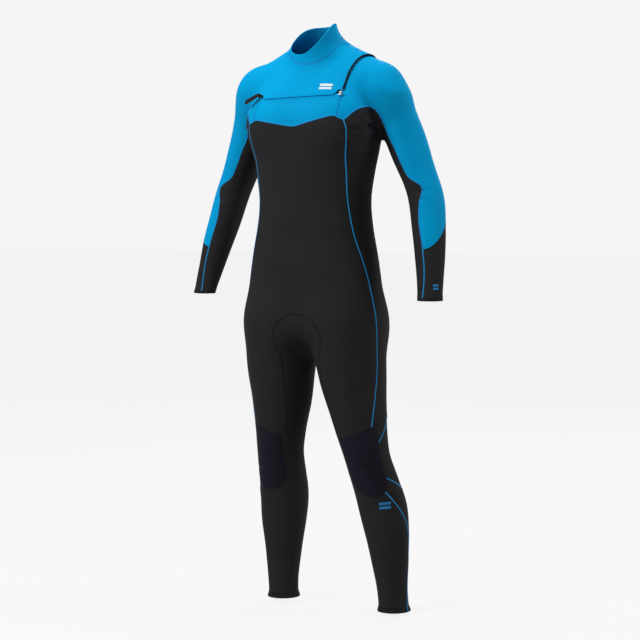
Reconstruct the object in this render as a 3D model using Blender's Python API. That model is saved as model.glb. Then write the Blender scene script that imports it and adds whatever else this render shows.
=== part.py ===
"""A full chest-zip wetsuit in its worn shape: neoprene panels, collar, entry flap, zip, cuffs and hems.

The suit's outer surface is one smooth form. It is meshed once, cut into panels along the seams and
the bending lines, and each panel becomes a sheet of neoprene of the real thickness. The origin is
on the body's centre line at the height where the shoulders carry the suit. +X is the wearer's left,
-Y the front.
"""

import math

import bmesh
import bpy
import numpy as np
from mathutils import Matrix, Vector

# Driving dimensions, metres.
NEOPRENE = 0.003
SEAM_GAP = 0.0012
RIM_FRONT_SLOPE = 0.95
WRIST_Z = {"left": -0.594, "right": -0.590}
ANKLE_Z = {"left": -1.372, "right": -1.366}
CUFF_HEIGHT = 0.018
HEM_HEIGHT = 0.020
ARMHOLE_X = 0.172
ARMPIT_Z = -0.20
SHOULDER_TOP_Z = -0.006
ELBOW_Z = -0.3375
HIP_Z = -0.76
KNEE_Z = -0.98
ZIP_Z = -0.094
ZIP_HALF_LENGTH = 0.117
TAPE_WIDTH = 0.004
COIL_WIDTH = 0.004
BINDING_WIDTH = 0.007
ZIP_ARC_RADIUS = 0.426
ZIP_ARC_CENTRE_Y = 0.337
ZIP_TILT = 32.0
SLIDER_LIFT = 0.0072
SLIDER_REST = 0.108
SLIDER_DROP = 0.003
TAB_LIFT = 0.0115
TAB_LENGTH = 0.046
TAB_THICKNESS = 0.0022
TAB_WIDTH = 0.013
TAB_LEAN = -33.0
TAB_TAIL = 0.0004
SLIDER_SIZE = (0.013, 0.005, 0.0085)
BOX_SIZE = (0.008, 0.004, 0.012)
BOX_PLACE = 0.116
BOX_LIFT = 0.0045
BARRIER_TOP_Z = -0.055
BARRIER_FOOT_Z = -0.135
BARRIER_DEPTH = 0.006
BARRIER_THICKNESS = 0.002
FLAP_AXIS = (0.0, 0.108, 0.005)
RIDGE_Y = 0.045
GUSSET_ARCH_Z = -0.695
GUSSET_ARCH_HEIGHT = 0.065
GUSSET_HALF_WIDTH = 0.068
GUSSET_BACK_Y = 0.050
BACK_PANEL_HALF_WIDTH = 0.085
GRID_STEP = 0.025
LIMB_ROW = 0.070
CROTCH_ROW = 0.038
SHOULDER_ROW = 0.031
SNAP = 0.18
LOCKED_SNAP = 0.03
SIDES = {"left": 1.0, "right": -1.0}

# Torso sections: height, centre y, half width, depth in front, depth behind, squareness.
TORSO = (
    (0.00, 0.030, 0.080, 0.054, 0.048, 2.4),
    (-0.05, 0.028, 0.130, 0.086, 0.073, 2.7),
    (-0.10, 0.024, 0.155, 0.108, 0.088, 2.9),
    (-0.16, 0.018, 0.167, 0.122, 0.096, 2.8),
    (-0.21, 0.012, 0.166, 0.121, 0.096, 2.5),
    (-0.28, 0.006, 0.156, 0.110, 0.095, 2.3),
    (-0.34, 0.002, 0.147, 0.102, 0.096, 2.3),
    (-0.42, 0.000, 0.152, 0.098, 0.104, 2.3),
    (-0.50, 0.000, 0.169, 0.097, 0.103, 2.3),
    (-0.58, 0.000, 0.179, 0.097, 0.103, 2.3),
    (-0.64, 0.000, 0.178, 0.096, 0.100, 2.3),
    (-0.70, 0.002, 0.175, 0.090, 0.096, 2.3),
    (-0.78, 0.004, 0.165, 0.075, 0.085, 2.3),
)
# Leg sections: height, centre y, half width, depth in front, depth behind.
LEG = (
    (-0.56, 0.002, 0.075, 0.080, 0.080),
    (-0.63, 0.004, 0.088, 0.094, 0.100),
    (-0.70, 0.006, 0.090, 0.096, 0.102),
    (-0.78, 0.008, 0.084, 0.088, 0.094),
    (-0.86, 0.010, 0.073, 0.078, 0.080),
    (-0.93, 0.010, 0.063, 0.067, 0.065),
    (-0.98, 0.014, 0.058, 0.062, 0.060),
    (-1.04, 0.028, 0.060, 0.056, 0.064),
    (-1.10, 0.042, 0.062, 0.054, 0.068),
    (-1.17, 0.047, 0.0575, 0.050, 0.061),
    (-1.24, 0.047, 0.048, 0.043, 0.049),
    (-1.31, 0.045, 0.039, 0.038, 0.042),
    (-1.42, 0.044, 0.0375, 0.040, 0.043),
)
# How far each leg's centre stands out from the middle: height, distance.
LEG_STANCE = {
    "left": (
        (-0.56, 0.088), (-0.78, 0.101), (-0.98, 0.140), (-1.10, 0.165), (-1.24, 0.187), (-1.42, 0.207),
    ),
    "right": (
        (-0.56, 0.088), (-0.78, 0.103), (-0.90, 0.103), (-0.98, 0.108), (-1.10, 0.117), (-1.24, 0.121),
        (-1.42, 0.118),
    ),
}
# Arm sections: height, distance out, centre y, half width, half depth, turn in degrees.
ARM = (
    (-0.07, 0.180, 0.040, 0.052, 0.055, 0.0),
    (-0.12, 0.194, 0.050, 0.052, 0.056, 0.0),
    (-0.175, 0.213, 0.060, 0.052, 0.055, 0.0),
    (-0.25, 0.241, 0.064, 0.049, 0.051, 0.0),
    (-0.3375, 0.277, 0.062, 0.044, 0.047, 0.0),
    (-0.425, 0.296, 0.045, 0.041, 0.044, 0.0),
    (-0.525, 0.312, 0.020, 0.034, 0.032, 15.0),
    (-0.60, 0.322, 0.000, 0.0305, 0.024, 30.0),
    (-0.70, 0.336, -0.026, 0.030, 0.0235, 30.0),
)
# How much further out each arm hangs: height, distance.
ARM_HANG = {
    "left": ((-0.07, 0.0), (-0.70, 0.0)),
    "right": ((-0.07, 0.008), (-0.30, 0.005), (-0.60, 0.011), (-0.70, 0.012)),
}

# Seam lines. Front to back place of the side seam: height, y.
SIDE_SEAM = (
    (-0.15, -0.093), (-0.20, -0.084), (-0.27, -0.068), (-0.34, -0.059), (-0.45, -0.048), (-0.56, -0.031),
    (-0.65, -0.026), (-0.75, -0.011), (-0.845, -0.021), (-0.90, -0.030), (-0.96, -0.036),
)
# Front to back place of the outer shin seam: height, y.
SHIN_SEAM = (
    (-0.98, -0.030), (-1.05, -0.018), (-1.07, -0.003), (-1.095, 0.015), (-1.12, 0.032),
    (-1.15, 0.050), (-1.24, 0.062), (-1.31, 0.058), (-1.375, 0.041),
)
# Where the sleeve's outer panel starts on the front of the arm: height, distance out.
SLEEVE_SEAM = (
    (-0.12, 0.166), (-0.124, 0.172), (-0.131, 0.180), (-0.15, 0.188), (-0.19, 0.199), (-0.225, 0.218),
    (-0.265, 0.237), (-0.300, 0.262), (-0.312, 0.285), (-0.318, 0.289), (-0.350, 0.286), (-0.390, 0.287),
    (-0.4575, 0.302), (-0.5175, 0.312), (-0.60, 0.3135),
)
# Plan view of the entry flap's side edge: y, distance out.
FLAP_EDGE = (
    (-0.12, 0.117), (-0.09, 0.117), (-0.06, 0.117), (-0.040, 0.1165), (-0.022, 0.1205),
    (0.0, 0.1270), (0.02, 0.1325), (0.045, 0.139),
)

BLUE = (0.0, 0.33, 0.72)
BLACK = (0.018, 0.018, 0.021)
PLUM = (0.016, 0.011, 0.028)
STEEL = (0.55, 0.56, 0.58)


def curve_through(t, stations, column=1):
    """Smooth reading of one column of a table whose first column is t."""
    table = np.array(sorted(stations), float)
    xs = table[:, 0]
    ys = table[:, column]
    slope = np.gradient(ys, xs)
    t = np.clip(t, xs[0], xs[-1])
    i = np.clip(np.searchsorted(xs, t) - 1, 0, len(xs) - 2)
    span = xs[i + 1] - xs[i]
    s = (t - xs[i]) / span
    start = (2 * s**3 - 3 * s**2 + 1) * ys[i] + (s**3 - 2 * s**2 + s) * span * slope[i]
    end = (3 * s**2 - 2 * s**3) * ys[i + 1] + (s**3 - s**2) * span * slope[i + 1]
    return start + end


def smooth_union(a, b, radius):
    h = np.clip(0.5 + 0.5 * (b - a) / radius, 0, 1)
    return b * (1 - h) + a * h - radius * h * (1 - h)


def smooth_cut(a, b, radius):
    return -smooth_union(-a, -b, radius)


def ring_size(p, cx, cy, width, front, back, power=2.0, turn=0.0):
    """How far points lie outside a tube whose level sections are egg-shaped rings."""
    dx = p[:, 0] - cx
    dy = p[:, 1] - cy
    c = np.cos(turn)
    s = np.sin(turn)
    u = (c * dx + s * dy) / width
    v = c * dy - s * dx
    v = v / np.where(v < 0, front, back)
    rho = (np.abs(u) ** power + np.abs(v) ** power) ** (1 / power)
    return (rho - 1) * np.sqrt(width * (front + back) / 2)


def cone_size(p, start, end, start_radius, end_radius):
    a = np.array(start)
    along = np.array(end) - a
    h = np.clip(((p - a) @ along) / (along @ along), 0, 1)
    radius = start_radius + (end_radius - start_radius) * h
    return np.linalg.norm(p - a - h[:, None] * along, axis=1) - radius


def egg_size(p, centre, radii):
    q = (p - np.array(centre)) / np.array(radii)
    n = np.linalg.norm(q, axis=1)
    g = np.linalg.norm(q / np.array(radii), axis=1)
    return n * (n - 1) / np.maximum(g, 1e-6)


def leg_centre(z, side):
    return curve_through(z, LEG_STANCE[side])


def arm_centre(z, side):
    return curve_through(z, ARM) + curve_through(z, ARM_HANG[side])


def mirrored(p, side):
    """Points as they would lie on the wearer's left."""
    return p * np.array([SIDES[side], 1.0, 1.0])


def torso_form(p):
    z = p[:, 2]
    columns = [curve_through(z, TORSO, k) for k in (1, 2, 3, 4, 5)]
    size = ring_size(p, 0.0, *columns)
    size = smooth_cut(size, -0.695 - z, 0.06)
    size = smooth_cut(size, z, 0.06)
    half = np.column_stack([np.sqrt(p[:, 0] ** 2 + 0.012**2), p[:, 1], z])
    shoulders = cone_size(half, (0.0, 0.032, -0.055), (0.160, 0.042, -0.070), 0.064, 0.052)
    neck_slopes = cone_size(half, (0.0, 0.040, 0.028), (0.13, 0.042, -0.055), 0.043, 0.045)
    size = smooth_union(smooth_union(size, shoulders, 0.05), neck_slopes, 0.05)
    for side in SIDES:
        q = mirrored(p, side)
        size = smooth_union(size, egg_size(q, (0.068, -0.034, -0.160), (0.084, 0.066, 0.070)), 0.05)
        size = smooth_union(size, egg_size(q, (0.076, 0.035, -0.650), (0.072, 0.074, 0.085)), 0.05)
    return size


def arm_form(p, side):
    q = mirrored(p, side)
    z = q[:, 2]
    depth = curve_through(z, ARM, 4)
    size = ring_size(
        q, arm_centre(z, side), curve_through(z, ARM, 2), curve_through(z, ARM, 3), depth, depth,
        turn=np.radians(curve_through(z, ARM, 5)),
    )
    size = smooth_cut(size, z + 0.075, 0.03)
    size = smooth_cut(size, -0.66 - z, 0.01)
    out = float(ARM_HANG[side][0][1])
    size = smooth_union(size, egg_size(q, (0.176 + out, 0.044, -0.092), (0.052, 0.058, 0.070)), 0.03)
    if side == "right":
        size = smooth_union(size, egg_size(q, (0.184, 0.044, -0.070), (0.055, 0.056, 0.052)), 0.02)
    return size


def leg_form(p, side):
    q = mirrored(p, side)
    z = q[:, 2]
    columns = [curve_through(z, LEG, k) for k in (1, 2, 3, 4)]
    size = smooth_cut(ring_size(q, leg_centre(z, side), *columns), z + 0.58, 0.08)
    return smooth_cut(size, -1.43 - z, 0.01)


def suit_form(p):
    """Below zero inside the suit's outer surface, above zero outside it."""
    size = torso_form(p)
    for side in SIDES:
        size = smooth_union(size, arm_form(p, side), 0.020)
    legs = smooth_union(leg_form(p, "left"), leg_form(p, "right"), 0.055)
    size = smooth_union(size, legs, 0.045)
    return smooth_union(size, cone_size(p, (0, 0.040, -0.06), (0, -0.035, 0.16), 0.060, 0.057), 0.035)


def gradient(p, step=2e-4):
    columns = []
    for axis in range(3):
        shift = np.zeros(3)
        shift[axis] = step
        columns.append((suit_form(p + shift) - suit_form(p - shift)) / (2 * step))
    return np.column_stack(columns)


def onto_form(p, rounds=4):
    for _ in range(rounds):
        g = gradient(p)
        p = p - g * (suit_form(p) / np.maximum((g**2).sum(axis=1), 1e-6))[:, None]
    return p


def normals_at(p):
    g = gradient(p)
    return g / np.linalg.norm(g, axis=1)[:, None]


def surface_net(field, axes):
    """Vertices and quads of field = 0 on a grid: one vertex in each crossed cell."""
    shape = tuple(len(a) for a in axes)
    grid = np.stack(np.meshgrid(*axes, indexing="ij"), axis=-1)
    value = field(grid.reshape(-1, 3)).reshape(shape)
    cells = tuple(n - 1 for n in shape)
    total = np.zeros(cells + (3,))
    count = np.zeros(cells)
    for axis in range(3):
        for i in (0, 1):
            for j in (0, 1):
                low = [0, 0, 0]
                low[(axis + 1) % 3] = i
                low[(axis + 2) % 3] = j
                high = list(low)
                high[axis] = 1
                a = tuple(slice(low[k], low[k] + cells[k]) for k in range(3))
                b = tuple(slice(high[k], high[k] + cells[k]) for k in range(3))
                crossed = (value[a] < 0) != (value[b] < 0)
                t = np.where(crossed, value[a] / np.where(crossed, value[a] - value[b], 1.0), 0.0)
                total += (grid[a] + t[..., None] * (grid[b] - grid[a])) * crossed[..., None]
                count += crossed
    number = np.full(cells, -1)
    number[count > 0] = np.arange((count > 0).sum())
    points = total[count > 0] / count[count > 0][:, None]
    quads = []
    for axis in range(3):
        u = (axis + 1) % 3
        v = (axis + 2) % 3
        low = [slice(1, n - 1) for n in shape]
        low[axis] = slice(0, shape[axis] - 1)
        high = list(low)
        high[axis] = slice(1, shape[axis])
        rising = (value[tuple(low)] < 0) & (value[tuple(high)] >= 0)
        falling = (value[tuple(low)] >= 0) & (value[tuple(high)] < 0)
        for mask, order in ((rising, (0, 1, 2, 3)), (falling, (3, 2, 1, 0))):
            at = np.argwhere(mask)
            at[:, u] += 1
            at[:, v] += 1
            corners = []
            for du, dv in ((0, 0), (-1, 0), (-1, -1), (0, -1)):
                cell = at.copy()
                cell[:, u] += du
                cell[:, v] += dv
                corners.append(number[tuple(cell.T)])
            quads.append(np.column_stack([corners[k] for k in order]))
    return points, np.concatenate(quads)


def triangles_of(points, quads):
    """Each quad split along its shorter diagonal."""
    first = np.linalg.norm(points[quads[:, 0]] - points[quads[:, 2]], axis=1)
    second = np.linalg.norm(points[quads[:, 1]] - points[quads[:, 3]], axis=1)
    turned = np.where((first <= second)[:, None], quads, np.roll(quads, -1, axis=1))
    return np.concatenate([turned[:, [0, 1, 2]], turned[:, [0, 2, 3]]])


def relaxed(points, faces, rounds=3):
    """Points spread evenly over the surface."""
    ends = np.concatenate([faces[:, [0, 1]], faces[:, [1, 2]], faces[:, [2, 0]]])
    for _ in range(rounds):
        total = np.zeros_like(points)
        count = np.zeros(len(points))
        np.add.at(total, ends[:, 0], points[ends[:, 1]])
        np.add.at(count, ends[:, 0], 1)
        move = total / count[:, None] - points
        n = normals_at(points)
        move -= n * (move * n).sum(axis=1)[:, None]
        points = onto_form(points + 0.5 * move, 2)
    return points


def split_triangle(a, b, c, ab, bc, ca):
    """Triangles that replace a, b, c when some of its sides have a new point."""
    known = (ab is not None, bc is not None, ca is not None)
    if known == (True, False, False):
        return [(a, ab, c), (ab, b, c)]
    if known == (True, True, False):
        return [(ab, b, bc), (a, ab, bc), (a, bc, c)]
    if all(known):
        return [(a, ab, ca), (ab, b, bc), (ca, bc, c), (ab, bc, ca)]
    if not any(known):
        return [(a, b, c)]
    return split_triangle(b, c, a, bc, ca, ab)


class Skin:
    """The outer surface as triangles, each with the name of its panel."""

    def __init__(self, points, faces):
        self.points = points
        self.faces = faces
        self.label = np.array(["torso"] * len(faces), dtype=object)
        self.locked = np.zeros(len(points), bool)

    def crossings(self, field, mask):
        """The cut edges, how far along them the cut lies, and field at every point in use."""
        used = np.unique(self.faces[mask])
        value = np.zeros(len(self.points))
        value[used] = field(self.points[used])
        value[np.abs(value) < 1e-9] = 0.0
        f = self.faces[mask]
        edges = np.concatenate([f[:, [0, 1]], f[:, [1, 2]], f[:, [2, 0]]])
        edges = np.unique(np.sort(edges, axis=1), axis=0)
        edges = edges[value[edges[:, 0]] * value[edges[:, 1]] < 0]
        a = self.points[edges[:, 0]]
        b = self.points[edges[:, 1]]
        sign = np.sign(value[edges[:, 0]])
        low = np.zeros(len(edges))
        high = np.ones(len(edges))
        for _ in range(14):
            middle = (low + high) / 2
            same = np.sign(field(a + middle[:, None] * (b - a))) == sign
            low = np.where(same, middle, low)
            high = np.where(same, high, middle)
        return edges, (low + high) / 2, value

    def snap(self, edges, t, value):
        """Move free points that lie close to the cut onto it, and count close fixed ones as on it."""
        place = self.points[edges[:, 0]] * (1 - t[:, None]) + self.points[edges[:, 1]] * t[:, None]
        vertex = np.concatenate([edges[:, 0], edges[:, 1]])
        near = np.concatenate([t, 1 - t])
        place = np.concatenate([place, place])
        order = np.argsort(near, kind="stable")
        order = order[near[order] < np.where(self.locked[vertex[order]], LOCKED_SNAP, SNAP)]
        chosen, first = np.unique(vertex[order], return_index=True)
        place = place[order[first]]
        free = ~self.locked[chosen]
        if free.any():
            self.points[chosen[free]] = onto_form(place[free])
        self.locked[chosen] = True
        value[chosen] = 0.0

    def cut(self, field, name, within):
        """Cut the panels in within along field = 0 and give the part below zero the name."""
        mask = np.isin(self.label, list(within))
        if not mask.any():
            return
        edges, t, value = self.crossings(field, mask)
        self.snap(edges, t, value)
        keep = value[edges[:, 0]] * value[edges[:, 1]] < 0
        edges = edges[keep]
        t = t[keep]
        if len(edges):
            t = t[:, None]
            made = onto_form(self.points[edges[:, 0]] * (1 - t) + self.points[edges[:, 1]] * t)
            mask = self.split(edges, mask)
            self.points = np.concatenate([self.points, made])
            self.locked = np.concatenate([self.locked, np.ones(len(made), bool)])
            value = np.concatenate([value, np.zeros(len(made))])
        inside = value[self.faces].sum(axis=1)
        flat = mask & (np.abs(inside) < 1e-12)
        if flat.any():
            inside[flat] = field(self.points[self.faces[flat]].mean(axis=1))
        self.label[mask & (inside < 0)] = name

    def split(self, edges, mask):
        """Divide every triangle that holds a cut edge, and return the mask for the new triangles."""
        count = len(self.points)
        keys = edges[:, 0] * count + edges[:, 1]
        order = np.argsort(keys)
        found = []
        for i, j in ((0, 1), (1, 2), (2, 0)):
            ends = np.sort(self.faces[:, [i, j]], axis=1)
            key = ends[:, 0] * count + ends[:, 1]
            at = np.minimum(np.searchsorted(keys, key, sorter=order), len(keys) - 1)
            found.append(np.where(keys[order[at]] == key, order[at] + count, -1))
        found = np.column_stack(found)
        touched = (found >= 0).any(axis=1)
        faces = []
        label = []
        flags = []
        for corners, sides, old, flag in zip(
            self.faces[touched].tolist(), found[touched].tolist(), self.label[touched], mask[touched]
        ):
            pieces = split_triangle(*corners, *[k if k >= 0 else None for k in sides])
            faces += pieces
            label += [old] * len(pieces)
            flags += [flag] * len(pieces)
        self.faces = np.concatenate([self.faces[~touched], np.array(faces)])
        self.label = np.concatenate([self.label[~touched], np.array(label, dtype=object)])
        return np.concatenate([mask[~touched], np.array(flags)])

    def drop(self, name):
        keep = self.label != name
        self.faces = self.faces[keep]
        self.label = self.label[keep]

    def merge_scraps(self, least=3.5e-4):
        """Fragments smaller than least, in square metres, join the panel that they touch most."""
        corners = self.points[self.faces]
        area = 0.5 * np.linalg.norm(
            np.cross(corners[:, 1] - corners[:, 0], corners[:, 2] - corners[:, 0]), axis=1)
        owner = {}
        for k, (a, b, c) in enumerate(self.faces.tolist()):
            for e in ((a, b), (b, c), (c, a)):
                owner.setdefault((min(e), max(e)), []).append(k)
        near = [[] for _ in self.faces]
        for pair in owner.values():
            if len(pair) == 2:
                near[pair[0]].append(pair[1])
                near[pair[1]].append(pair[0])
        seen = np.zeros(len(self.faces), bool)
        for start in range(len(self.faces)):
            if seen[start]:
                continue
            group = [start]
            seen[start] = True
            for k in group:
                for other in near[k]:
                    if not seen[other] and self.label[other] == self.label[start]:
                        seen[other] = True
                        group.append(other)
            own = self.label[start]
            around = [self.label[o] for k in group for o in near[k] if self.label[o] != own]
            if area[group].sum() < least and around:
                self.label[group] = max(sorted(set(around)), key=around.count)


def part_fans(faces):
    """Faces renumbered so that no point joins two separate fans of the same panel."""
    faces = faces.copy()
    following = {}
    for a, b, c in faces.tolist():
        for e in ((a, b), (b, c), (c, a)):
            following[e] = True
    leaving = [e[0] for e in following if (e[1], e[0]) not in following]
    numbers, counts = np.unique(leaving, return_counts=True)
    source = {}
    top = faces.max() + 1
    for vertex in numbers[counts > 1]:
        around = [k for k in range(len(faces)) if vertex in faces[k]]
        groups = []
        for k in around:
            others = set(faces[k]) - {vertex}
            touching = [g for g in groups if g[1] & others]
            merged = [[k], others]
            for g in touching:
                merged = [merged[0] + g[0], merged[1] | g[1]]
                groups.remove(g)
            groups.append(merged)
        for members, _ in groups[1:]:
            for k in members:
                faces[k][faces[k] == vertex] = top
            source[top] = vertex
            top += 1
    return faces, source


def sheet_solid(skin, name, depth=0.0, thickness=NEOPRENE, gap=SEAM_GAP):
    """Vertices and faces of one panel, as a sheet under the outer surface."""
    faces, source = part_fans(skin.faces[skin.label == name])
    used, faces = np.unique(faces, return_inverse=True)
    faces = faces.reshape(-1, 3)
    outer = skin.points[[source.get(k, k) for k in used]]
    n = normals_at(outer)
    directed = {(a, b) for f in faces.tolist() for a, b in ((f[0], f[1]), (f[1], f[2]), (f[2], f[0]))}
    border = sorted(e for e in directed if (e[1], e[0]) not in directed)
    inward = [[] for _ in outer]
    for a, b in border:
        along = outer[b] - outer[a]
        for k in (a, b):
            m = np.cross(n[k], along)
            inward[k].append(m / np.linalg.norm(m))
    for k, found in enumerate(inward):
        if found:
            spread = 1.0 + float(found[0] @ found[-1])
            outer[k] = outer[k] + gap / 2 * (found[0] + found[-1]) / max(spread, 0.5)
    outer = outer - n * depth
    inner = outer - n * thickness
    count = len(outer)
    rim = []
    for a, b in border:
        rim += [(b, a, a + count), (b, a + count, b + count)]
    return np.concatenate([outer, inner]), faces.tolist() + (faces[:, ::-1] + count).tolist() + rim


def below(level):
    return lambda p: p[:, 2] - level


def collar_rim(p):
    """Below zero above the collar's rim, which is low in front, level behind and higher on the left."""
    aside = 0.45 * p[:, 0] + 0.24 * np.hypot(p[:, 0], 0.01)
    height = 0.055 + RIM_FRONT_SLOPE * p[:, 1] + aside
    return smooth_union(height, 0.083 + 0.06 * p[:, 0], 0.02) - p[:, 2]


def collar_base(p):
    height = 0.036 + 1.10 * p[:, 1]
    return smooth_union(height, np.full(len(p), 0.050), 0.02) - p[:, 2]


def beyond_armhole(side):
    def field(p):
        q = mirrored(p, side)
        return ARMHOLE_X + 0.2 * np.maximum(ARMPIT_Z - q[:, 2], 0.0) - q[:, 0]
    return field


def leg_of(side):
    return lambda p: np.maximum(p[:, 2] - HIP_Z, -mirrored(p, side)[:, 0])


def leg_turn(q, side):
    """Place around the leg, from -1 at its inner side to 1 at its outer side."""
    return (q[:, 0] - leg_centre(q[:, 2], side)) / curve_through(q[:, 2], LEG, 2)


def knee_pad(side):
    def field(p):
        q = mirrored(p, side)
        z = q[:, 2]
        front = q[:, 1] - curve_through(z, LEG, 1)
        angle = np.arctan2(leg_turn(q, side), -front / curve_through(z, LEG, 3))
        middle = np.interp(z, (-1.08, -0.93), (8.0, 17.0))
        across = (np.degrees(angle) - middle) / 51.0
        top = z - (-0.922 + 0.020 * across)
        round_end = np.hypot(across, np.minimum(z + 1.035, 0.0) / 0.048) - 1.0
        return np.maximum(top, round_end * 0.055)
    return field


def front_of_side_seam(p):
    return p[:, 1] - curve_through(p[:, 2], SIDE_SEAM)


def gusset_edge(z, side):
    """Half width of the crotch gusset, an arch in front that runs down the inside of each thigh."""
    arch = GUSSET_HALF_WIDTH * np.sqrt(
        np.clip(1 - ((z - GUSSET_ARCH_Z) / GUSSET_ARCH_HEIGHT) ** 2, 0, 1)
    )
    angle = np.radians(np.interp(z, (-0.94, -0.76), (47, 33)))
    leg = leg_centre(z, side) - curve_through(z, LEG, 2) * np.sin(angle)
    s = np.clip((GUSSET_ARCH_Z - z) / GUSSET_ARCH_HEIGHT, 0, 1)
    s = s * s * (3 - 2 * s)
    return np.where(z > GUSSET_ARCH_Z, arch, GUSSET_HALF_WIDTH * (1 - s) + leg * s)


def gusset(p):
    edge = np.where(p[:, 0] > 0, gusset_edge(p[:, 2], "left"), gusset_edge(p[:, 2], "right"))
    return np.maximum(np.abs(p[:, 0]) - edge, p[:, 1] - GUSSET_BACK_Y)


def thigh_inside(side):
    def field(p):
        q = mirrored(p, side)
        return np.maximum(q[:, 0] - gusset_edge(q[:, 2], side), p[:, 1] - GUSSET_BACK_Y)
    return field


def front_of_shin_seam(side):
    def field(p):
        q = mirrored(p, side)
        s = np.clip(0.5 + leg_turn(q, side), 0, 1)
        s = s * s * (3 - 2 * s)
        return q[:, 1] - (0.045 * (1 - s) + curve_through(q[:, 2], SHIN_SEAM) * s)
    return field


def yoke_line(p):
    """Height of the seam between the coloured top and the black body."""
    out = np.abs(p[:, 0])
    chest = -0.171 + 0.027 * np.minimum(out / 0.110, 1.0)
    lower = 0.008 * np.interp(out, (0.0, 0.110, 0.125, 0.146), (0, 1, 1, 0)) * (p[:, 0] < 0)
    corner = np.interp(
        out, (0.110, 0.134, 0.146, 0.155, 0.162, 0.168, 0.174),
        (-0.144, -0.157, -0.140, -0.129, -0.1230, -0.1225, -0.1240)
    )
    front = np.where(out < 0.110, chest, corner) - lower
    return np.where(p[:, 1] < RIDGE_Y, front, -0.150 + 0.10 * out)


def under_yoke_line(p):
    return p[:, 2] - yoke_line(p)


def sleeve_inside(side):
    """Below zero on the black inner panel of the sleeve."""
    def field(p):
        q = mirrored(p, side)
        z = q[:, 2]
        hang = curve_through(z, ARM_HANG[side])
        seam = curve_through(z, SLEEVE_SEAM) + hang
        back = arm_centre(z, side) - 0.35 * curve_through(z, ARM, 3)
        in_front = q[:, 1] < curve_through(z, ARM, 2)
        across = q[:, 0] - np.where(in_front, seam, back)
        return np.maximum(across, z - np.where(in_front, -0.120, -0.135))
    return field


def below_forearm_diagonal(p):
    return p[:, 2] - (-0.475 + 0.92 * (p[:, 1] + 0.010))


def entry_flap(p):
    """Below zero on the flap: over the zip, inside its side edges and in front of its fold."""
    out = np.abs(p[:, 0])
    side_edge = out - curve_through(p[:, 1], FLAP_EDGE)
    fold = p[:, 1] - (0.102 - 0.055 * (out / 0.16) ** 2)
    return np.maximum(np.maximum(side_edge, fold), ZIP_Z - p[:, 2])


def flap_edge_strip(p):
    return curve_through(p[:, 1], FLAP_EDGE) - BINDING_WIDTH - p[:, 0]


def chest_middle(p):
    return np.maximum(np.abs(p[:, 0]) - ZIP_HALF_LENGTH, p[:, 1])


def chest_under(level, foot):
    """The middle of the chest from a level down to a foot."""
    return lambda p: np.maximum(chest_middle(p), np.maximum(p[:, 2] - level, foot - p[:, 2]))


def behind(y):
    return lambda p: y - p[:, 1]


def back_strip(p):
    return np.maximum(np.abs(p[:, 0]) - BACK_PANEL_HALF_WIDTH, 0.03 - p[:, 1])


def side_line(offset, slope, y_start):
    """Below zero under a seam that climbs towards the back."""
    return lambda p: p[:, 2] - (offset + slope * (p[:, 1] - y_start))


def make_skin():
    z_lines = np.concatenate([
        np.arange(-1.50, -0.80, LIMB_ROW), np.arange(-0.80, -0.64, CROTCH_ROW),
        np.arange(-0.64, -0.24, LIMB_ROW), np.arange(-0.24, 0.26, SHOULDER_ROW),
    ])
    axes = (np.arange(-0.412, 0.42, GRID_STEP), np.arange(-0.185, 0.20, GRID_STEP), z_lines)
    points, quads = surface_net(suit_form, axes)
    points = onto_form(points)
    faces = triangles_of(points, quads)
    return Skin(relaxed(points, faces), faces)


def cut_openings(skin):
    skin.cut(collar_rim, "open", {"torso"})
    skin.drop("open")
    for side in SIDES:
        skin.cut(beyond_armhole(side), side + "_upper_arm", {"torso"})
        skin.cut(leg_of(side), side + "_thigh", {"torso"})
        skin.cut(below(WRIST_Z[side]), "open", {side + "_upper_arm"})
        skin.cut(below(ANKLE_Z[side]), "open", {side + "_thigh"})
        skin.drop("open")


def cut_zip(skin):
    """Two strips of tape with the two halves of the coil between them, from the top down."""
    skin.cut(chest_under(ZIP_Z + COIL_WIDTH + TAPE_WIDTH, -0.140), "upper_zip_tape", {"torso"})
    skin.cut(below(ZIP_Z + COIL_WIDTH), "upper_zip_coil", {"upper_zip_tape"})
    skin.cut(below(ZIP_Z), "lower_zip_coil", {"upper_zip_coil"})
    skin.cut(below(ZIP_Z - COIL_WIDTH), "lower_zip_tape", {"lower_zip_coil"})
    skin.cut(below(ZIP_Z - COIL_WIDTH - TAPE_WIDTH), "torso", {"lower_zip_tape"})


def cut_torso(skin):
    skin.cut(collar_base, "collar", {"torso"})
    cut_zip(skin)
    skin.cut(entry_flap, "front_yoke", {"torso"})
    skin.cut(flap_edge_strip, "flap_binding", {"front_yoke"})
    skin.cut(under_yoke_line, "lower", {"torso"})
    skin.cut(chest_middle, "chest_panel", {"torso"})
    skin.cut(behind(RIDGE_Y), "back_yoke", {"torso"})
    for side in SIDES:
        skin.cut(lambda p: -mirrored(p, side)[:, 0], side + "_shoulder", {"torso"})
    skin.cut(gusset, "crotch_gusset", {"lower"})
    skin.cut(front_of_side_seam, "front_body", {"lower"})
    skin.cut(side_line(-0.56, 0.75, -0.031), "seat_panel", {"lower"})
    skin.cut(back_strip, "back_panel", {"lower"})
    for side in SIDES:
        waist = side + "_waist_panel"
        skin.cut(lambda p: -mirrored(p, side)[:, 0], waist, {"lower"})
        skin.cut(lambda p: -side_line(-0.38, 0.53, -0.055)(p), side + "_side_panel", {waist})


def cut_arm(skin, side):
    upper = side + "_upper_arm"
    fore = side + "_forearm"
    skin.cut(below(ELBOW_Z), fore, {upper})
    skin.cut(below(WRIST_Z[side] + CUFF_HEIGHT), side + "_cuff", {fore})
    for name in (upper, fore):
        skin.cut(sleeve_inside(side), name + "_inner", {name})
    skin.cut(below_forearm_diagonal, side + "_wrist_panel", {fore})


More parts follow.
